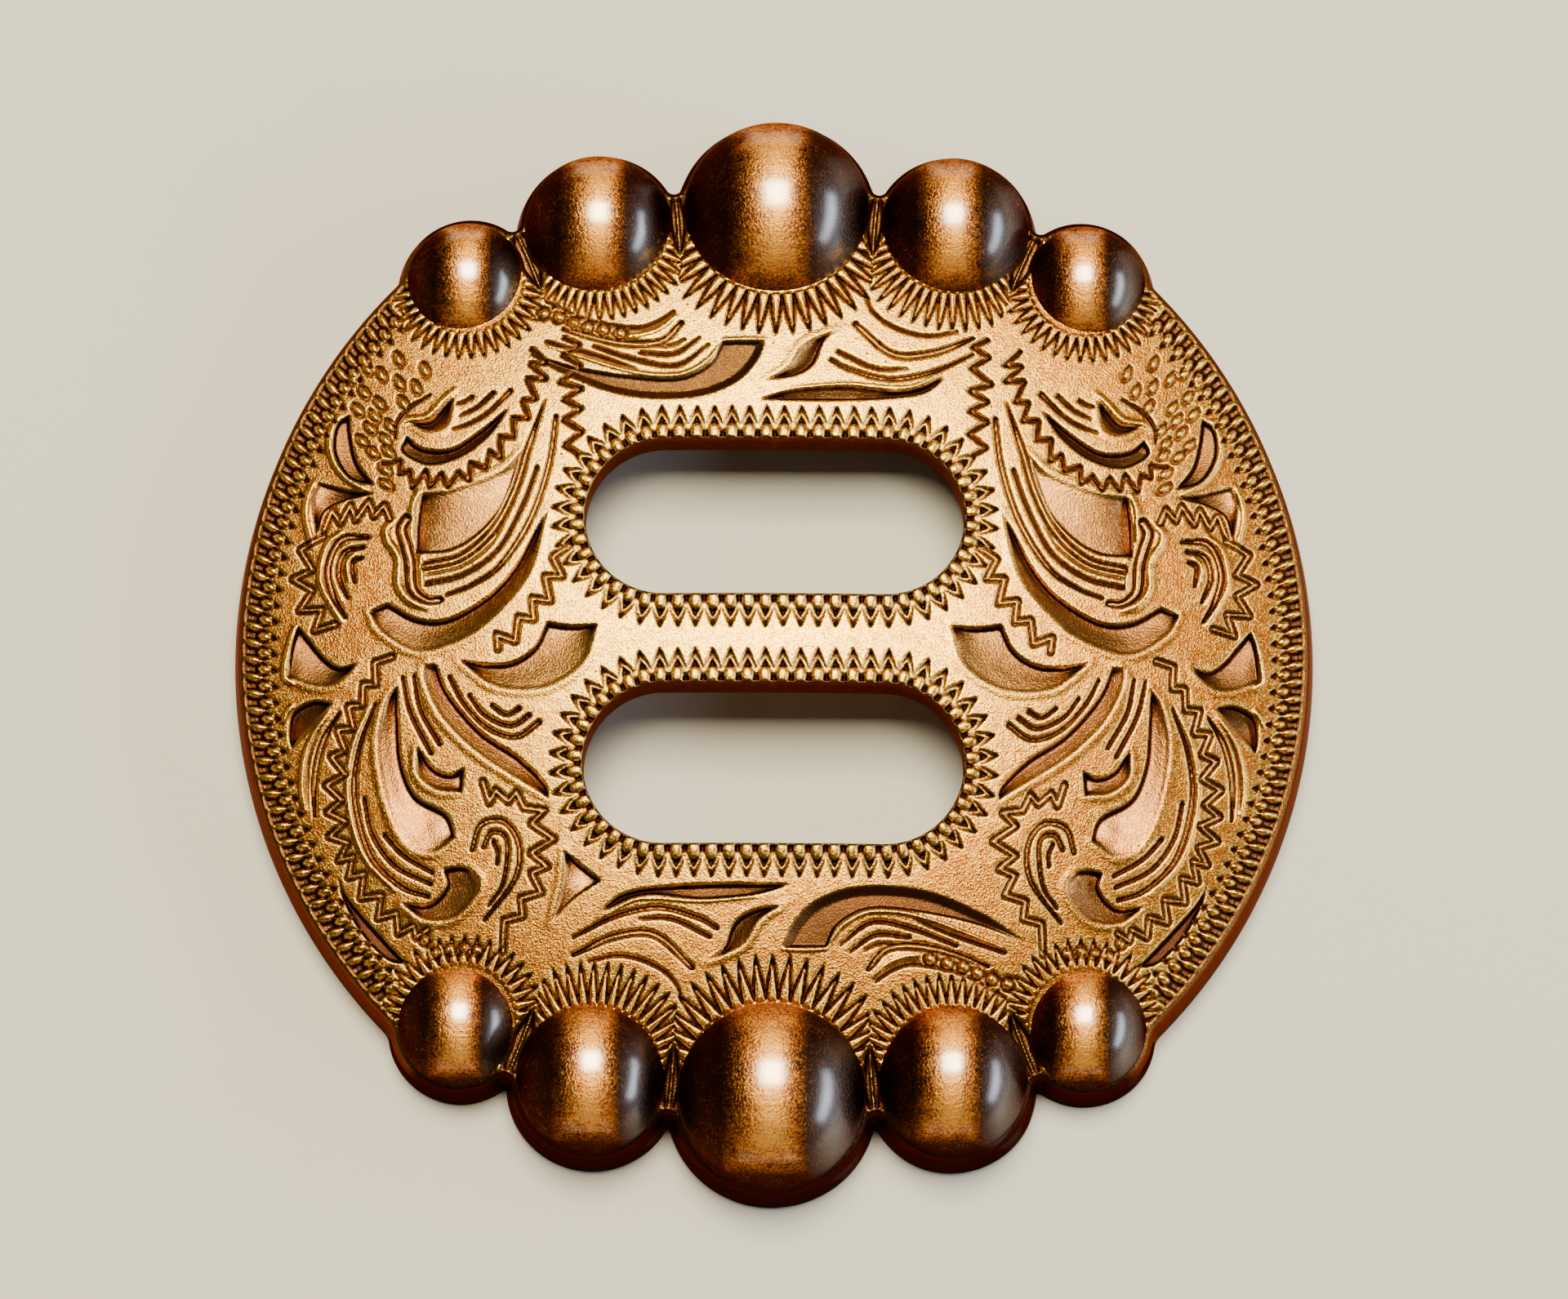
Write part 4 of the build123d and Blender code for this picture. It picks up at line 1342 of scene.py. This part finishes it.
def brushed_bronze():
    """Bronze berries: a bright band over the top, brushed metal under a painted highlight, red at its edges,
    painted shade round the sides and a painted grey sheen down the right.
    """
    look = finish()
    material, tree, shader = new_material("brushed_bronze")
    grain = placed_group(tree, cast_grain, Scale=0.8)
    brush = placed_group(tree, brush_marks, Fineness=0.8)
    side = painted(tree, "side")
    cool = painted(tree, "cool")
    under = painted(tree, "under")
    lumps = ranged(tree, grain.outputs["Height"], 0.85, 1.3, 0.32, -0.26)
    streak = ranged(tree, brush.outputs["Height"], 0.3, 0.7, -0.12, 0.12)
    # Painted shade round the berry's sides, broken up by grain and brush marks at the edges of the bright
    # band
    spread = times(tree, ranged(tree, side, 0.0, 0.3), ranged(tree, side, 1.0, 0.7))
    shade_and_wear = plus(tree, side, times(tree, spread, lumps))
    shade_and_wear = plus(tree, shade_and_wear, times(tree, spread, streak), clamp=True)
    shade_and_wear = math_node(tree, "MAXIMUM", shade_and_wear, times(tree, grain.outputs["Pits"], 0.5))
    dim = ranged(tree, grain.outputs["Height"], 1.2, 0.9, 0.0, 0.3)
    bright = mixed(tree, dim, look.berry, look.berry_red)
    colour_with_painted_light = mixed(tree, ranged(tree, shade_and_wear, 0.0, 0.55), bright, look.berry_red)
    colour_with_painted_light = mixed(tree, ranged(tree, shade_and_wear, 0.45, 1.0), colour_with_painted_light, look.berry_dark)
    colour_with_painted_light = mixed(tree, ranged(tree, grain.outputs["Height"], 1.2, 1.45, 0.0, 0.4), colour_with_painted_light, look.berry_red)
    # Painted reflection of the cool side lamp down the berry's right
    colour_with_painted_light = mixed(tree, cool, colour_with_painted_light, look.berry_grey)
    # Painted shade under the berry
    colour_with_painted_light = mixed(tree, times(tree, under, 0.9), colour_with_painted_light, look.berry_under)
    tree.links.new(colour_with_painted_light, shader.inputs["Base Color"])
    tree.links.new(ranged(tree, shade_and_wear, 0.0, 1.0, 0.38, 0.46), shader.inputs["Roughness"])
    shader.inputs["Metallic"].default_value = 1.0
    shader.inputs["Specular Tint"].default_value = (0.4, 0.16, 0.08, 1.0)
    # Coat on the painted highlight band and on the painted sheen, for a whiter core
    coat_on_highlight_and_sheen = math_node(tree, "SUBTRACT", ranged(tree, side, 0.0, 0.7, 1.0, 0.0), under, clamp=True)
    coat_on_highlight_and_sheen = plus(tree, coat_on_highlight_and_sheen, times(tree, cool, 0.36), clamp=True)
    tree.links.new(coat_on_highlight_and_sheen, shader.inputs["Coat Weight"])
    shader.inputs["Coat Roughness"].default_value = 0.22
    shader.inputs["Coat IOR"].default_value = 2.8
    shader.inputs["Anisotropic"].default_value = 0.88
    tangent = node(tree, "ShaderNodeTangent", direction_type="RADIAL", axis="X")
    tree.links.new(tangent.outputs[0], shader.inputs["Tangent"])
    height = plus(tree, times(tree, brush.outputs["Height"], 0.6), times(tree, grain.outputs["Height"], 0.7))
    bumped(tree, shader, height, 0.7, 0.045)
    return material


# Operators


class ConchoCasting(Operator):
    """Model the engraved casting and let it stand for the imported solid"""

    bl_idname = "concho.casting"
    bl_label = "Engraved Casting"

    pieces = ("casting_left", "casting_middle_left", "casting_middle_right", "casting_right")
    cuts = (-9.0, 0.0, 9.0)

    def execute(self, context):
        face = Face()
        face.engrave()
        relief, masks = face.relief()
        vertices, faces = casting_mesh(face, relief)
        whole = linked("casting", new_mesh("casting", vertices, faces))
        thin = whole.modifiers.new("thin", "DECIMATE")
        thin.ratio = min(1.0, sizes().triangles / len(faces))
        apply_modifiers(whole)
        material = engraved_copper()
        for name, (spots, faces, normals) in zip(self.pieces, strips(whole.data, self.cuts)):
            item = linked(name, new_mesh(name, spots, faces))
            capped(item.data)
            self.stain(item.data, face, masks)
            shade_smooth(item.data)
            item.data.normals_split_custom_set_from_vertices(normals)
            item.data.materials.append(material)
            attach(item, BODY)
            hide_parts(NODE)
        bpy.data.objects.remove(whole)
        return {"FINISHED"}

    def stain(self, mesh, face, masks):
        """Carry the stained floors, the antiquing with painted shade at the walls, and the crests of the
        face over to a mesh.
        """
        deepest = 0.55
        rim_width = 0.5
        rim_fade = 0.15
        lobe_width = 0.8
        lobe_fade = 0.1
        # Painted shade over the antiquing: how dark the outer wall and the slots' walls are painted; the
        # lobes under the berries are painted fully dark
        rim_darkness = 0.72
        slot_darkness = 0.8
        x, y, z = coordinates(mesh).T
        edge = face.edge_gap(x, y)
        slot = face.slot_gap(x, y)[0]
        turn = np.arctan2(np.abs(x), np.abs(y))
        on_face = (z > face.dome(x, y) - deepest) & (edge > 0.1) & (slot > 0.02)
        side = np.clip(np.maximum((rim_width - edge) / rim_fade, (SLOT_ROUND - slot) / SLOT_ROUND), 0, 1)
        lobe = np.clip((face.spread + lobe_fade - turn) / lobe_fade, 0, 1) * (edge < lobe_width)
        wall_shade_and_patina = np.where(slot > rim_width, rim_darkness, slot_darkness)

        # Name of each mask, its value along the edges and down the walls, and its value on the back
        rows = (("stain", 0.9, 0.75), ("wall", np.maximum(wall_shade_and_patina, lobe), 0.5), ("crest", 0, 0))
        for name, beside, below in rows:
            mask = sampled(masks[name], face, x, y)
            off_face = np.where(side > 0, beside, below)
            paint(mesh, name, np.where(on_face, mask + (beside - mask) * side, off_face))


class ConchoBerries(Operator):
    """Model the ten brushed berries along the two edges"""

    bl_idname = "concho.berries"
    bl_label = "Brushed Berries"

    def execute(self, context):
        material = brushed_bronze()
        for number, (x, y, radius, height, row) in enumerate(berry_places()):
            item = self.berry("berry_%d" % (number + 1), x, y, radius, height, number)
            item.data.materials.append(material)
            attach(item, BODY)
            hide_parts(NODE)
        return {"FINISHED"}

    def berry(self, name, x, y, radius, height, seed):
        """One berry: an uneven half ball on a skirt that flares to its lobe, hollowed as the back is."""
        around = 112
        dome_rings = 40
        skirt_rings = 8
        waves = 7
        unevenness = 0.0016
        tilts = np.linspace(0, pi / 2, dome_rings + 1)[1:]
        dome = [(radius * sin(tilt), radius * cos(tilt)) for tilt in tilts]
        skirt = [
            (radius + Face.lobe_margin * (1 - share**2), height * (share - 1))
            for share in np.linspace(1, 0, skirt_rings + 1)[1:]
        ]
        base = [(reach, -height) for reach in np.linspace(skirt[-1][0], 0, skirt_rings + 1)[1:-1]]
        reach, rise = np.array(dome + skirt + base).T[:, :, None]
        turn = np.linspace(0, 2 * pi, around, endpoint=False)
        shape = np.random.default_rng(seed)
        uneven = np.zeros((len(reach), around))
        for _ in range(waves):
            lean, phase = shape.uniform(1.5, 5.0), shape.uniform(0, 2 * pi)
            lobes = shape.integers(2, 6)
            wave = np.cos(lobes * turn + phase) * np.cos(lean * rise / radius + phase)
            uneven += wave * (reach / radius) ** 2
        swell = 1 + unevenness * uneven
        px = x + reach * swell * np.cos(turn)
        py = y + reach * swell * np.sin(turn)
        pz = np.maximum(height + rise * np.ones(around), hollow(px, py) + 0.02)
        spots = np.stack([px.ravel(), py.ravel(), pz.ravel()], 1)
        vertices = np.vstack([[(x, y, height + radius)], spots, [(x, y, hollow(x, y) + 0.02)]])
        ring = np.arange(around)
        after = np.roll(ring, -1)
        faces = [np.stack([np.zeros(around, int), 1 + ring, 1 + after], 1)]
        for upper in range(1, len(spots) - around, around):
            lower = upper + around
            faces.append(np.stack([upper + ring, lower + ring, lower + after], 1))
            faces.append(np.stack([upper + ring, lower + after, upper + after], 1))
        last = len(spots) - around + 1
        faces.append(np.stack([last + ring, np.full(around, len(vertices) - 1), last + after], 1))
        item = linked(name, new_mesh(name, vertices, np.vstack(faces)))
        self.age(item.data, (x, y, height), radius)
        shade_smooth(item.data)
        return item

    def age(self, mesh, centre, radius):
        """Paint onto a berry's mesh the painted shade round its sides, the painted sheen down its right and
        the painted shade of its underside.
        """
        # The bright band is a painted highlight, placed by the camera's elevation; outside it the berry is
        # painted shade
        band_left = -0.02
        band_right = 0.06
        band_middle = 0.12
        band_reach = 0.52
        sheen_left = 0.34
        sheen_right = 0.95
        underside_shade_top = 0.35
        cx, cy, cz = (coordinates(mesh) - centre).T / radius
        seen = cy * sin(ConchoStage.elevation) + cz * cos(ConchoStage.elevation)
        flank = np.maximum((band_left - cx) / 0.5, (cx - band_right) / 0.32)
        ends = (np.abs(seen - band_middle) - band_reach) / 0.4
        paint(mesh, "side", np.clip(np.maximum(flank, ends), 0, 1))
        # Painted reflection of the cool side lamp, a grey sheen down the right side
        across = np.clip((cx - sheen_left) / 0.25, 0, 1) * np.clip((sheen_right - cx) / 0.3, 0, 1)
        paint(mesh, "cool", across * np.clip(1.3 - np.abs(seen + 0.15) / 0.6, 0, 1))
        # Painted shade over the berry's underside
        paint(mesh, "under", np.clip((underside_shade_top - cz) / 0.45, 0, 1))


class ConchoStage(Operator):
    """Set the pale floor, the studio lights and the camera"""

    bl_idname = "concho.stage"
    bl_label = "Stage"

    elevation = radians(78.8)
    distance = 0.353
    roll = radians(0.312)
    lens = 229.3
    aim = (0.000352, 0.000462)

    def execute(self, context):
        self.floor()
        self.camera()
        self.lights()
        return {"FINISHED"}

    def floor(self):
        """A wide pale floor."""
        half = 1.5
        corners = [(-half, -half, 0), (half, -half, 0), (half, half, 0), (-half, half, 0)]
        mesh = bpy.data.meshes.new("floor")
        mesh.from_pydata(corners, [], [(0, 1, 2, 3)])
        floor = linked("floor", mesh)
        material, tree, shader = new_material("pale_floor")
        shader.inputs["Base Color"].default_value = (*finish().floor, 1.0)
        shader.inputs["Roughness"].default_value = 0.75
        speckle = node(tree, "ShaderNodeTexNoise", Scale=900.0, Detail=3.0)
        tree.links.new(node(tree, "ShaderNodeTexCoord").outputs["Object"], speckle.inputs["Vector"])
        bumped(tree, shader, speckle.outputs[0], 0.08, 0.1)
        mesh.materials.append(material)
        floor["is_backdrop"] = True

    def camera(self):
        """The photo's viewpoint: over the near edge, almost straight above."""
        up = Vector((0, sin(self.elevation), cos(self.elevation)))
        back = Vector((0, -cos(self.elevation), sin(self.elevation)))
        right = Vector((1, 0, 0))
        side = right * cos(self.roll) + up * sin(self.roll)
        rise = up * cos(self.roll) - right * sin(self.roll)
        camera = bpy.data.cameras.new("camera")
        camera.lens = self.lens
        camera.sensor_width = 36.0
        camera.clip_start = 0.01
        item = linked("camera", camera)
        turn = Matrix((side, rise, back)).transposed().to_4x4()
        centre = side * self.aim[0] + rise * self.aim[1]
        item.matrix_world = Matrix.Translation(centre + back * self.distance) @ turn
        bpy.context.scene.camera = item

    def lamp(self, name, place, size, power, colour):
        """A rectangular softbox that faces the concho."""
        light = bpy.data.lights.new(name, "AREA")
        light.shape = "RECTANGLE"
        light.size, light.size_y = size
        light.energy = power
        light.color = colour
        item = linked(name, light)
        place = Vector(place)
        item.matrix_world = Matrix.Translation(place) @ place.to_track_quat("Z", "Y").to_matrix().to_4x4()

    def lights(self):
        """A warm softbox overhead and behind, a cool one low at the right, and a dim surround."""
        self.lamp("key", (0.0, 0.15, 0.47), (0.23, 0.23), 5.3, (1.0, 0.89, 0.60))
        self.lamp("cool_side", (0.60, -0.05, 0.22), (0.60, 0.14), 3.6, (0.78, 0.88, 1.0))
        world = bpy.data.worlds.new("studio")
        world.use_nodes = True
        surround = world.node_tree.nodes["Background"]
        surround.inputs["Color"].default_value = (0.97, 0.88, 0.80, 1.0)
        surround.inputs["Strength"].default_value = 0.06
        bpy.context.scene.world = world


class ConchoPanel(Panel):
    """The concho's tools in the 3D view's sidebar"""

    bl_idname = "VIEW3D_PT_concho"
    bl_label = "Concho"
    bl_space_type = "VIEW_3D"
    bl_region_type = "UI"
    bl_category = "Concho"

    def draw(self, context):
        for holder in (context.scene.concho_sizes, context.scene.concho_finish):
            column = self.layout.column()
            for name in holder.__annotations__:
                column.prop(holder, name)
        for tool in (ConchoCasting, ConchoBerries, ConchoStage):
            self.layout.operator(tool.bl_idname)


CLASSES = (ConchoSizes, ConchoFinish, ConchoCasting, ConchoBerries, ConchoStage, ConchoPanel)


def register():
    """Make the concho's tools known to Blender."""
    for item in CLASSES:
        bpy.utils.register_class(item)
    bpy.types.Scene.concho_sizes = PointerProperty(type=ConchoSizes)
    bpy.types.Scene.concho_finish = PointerProperty(type=ConchoFinish)


def unregister():
    """Take the concho's tools out of Blender again."""
    del bpy.types.Scene.concho_finish
    del bpy.types.Scene.concho_sizes
    for item in reversed(CLASSES):
        bpy.utils.unregister_class(item)


def main():
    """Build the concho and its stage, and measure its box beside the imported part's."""
    register()
    bpy.ops.concho.casting()
    bpy.ops.concho.berries()
    bpy.ops.concho.stage()
    boxes = {"cad": CAD_BOX, "visual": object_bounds()}
    {name: [list(corner) for corner in box] for name, box in boxes.items()}


if __name__ == "__main__":
    main()
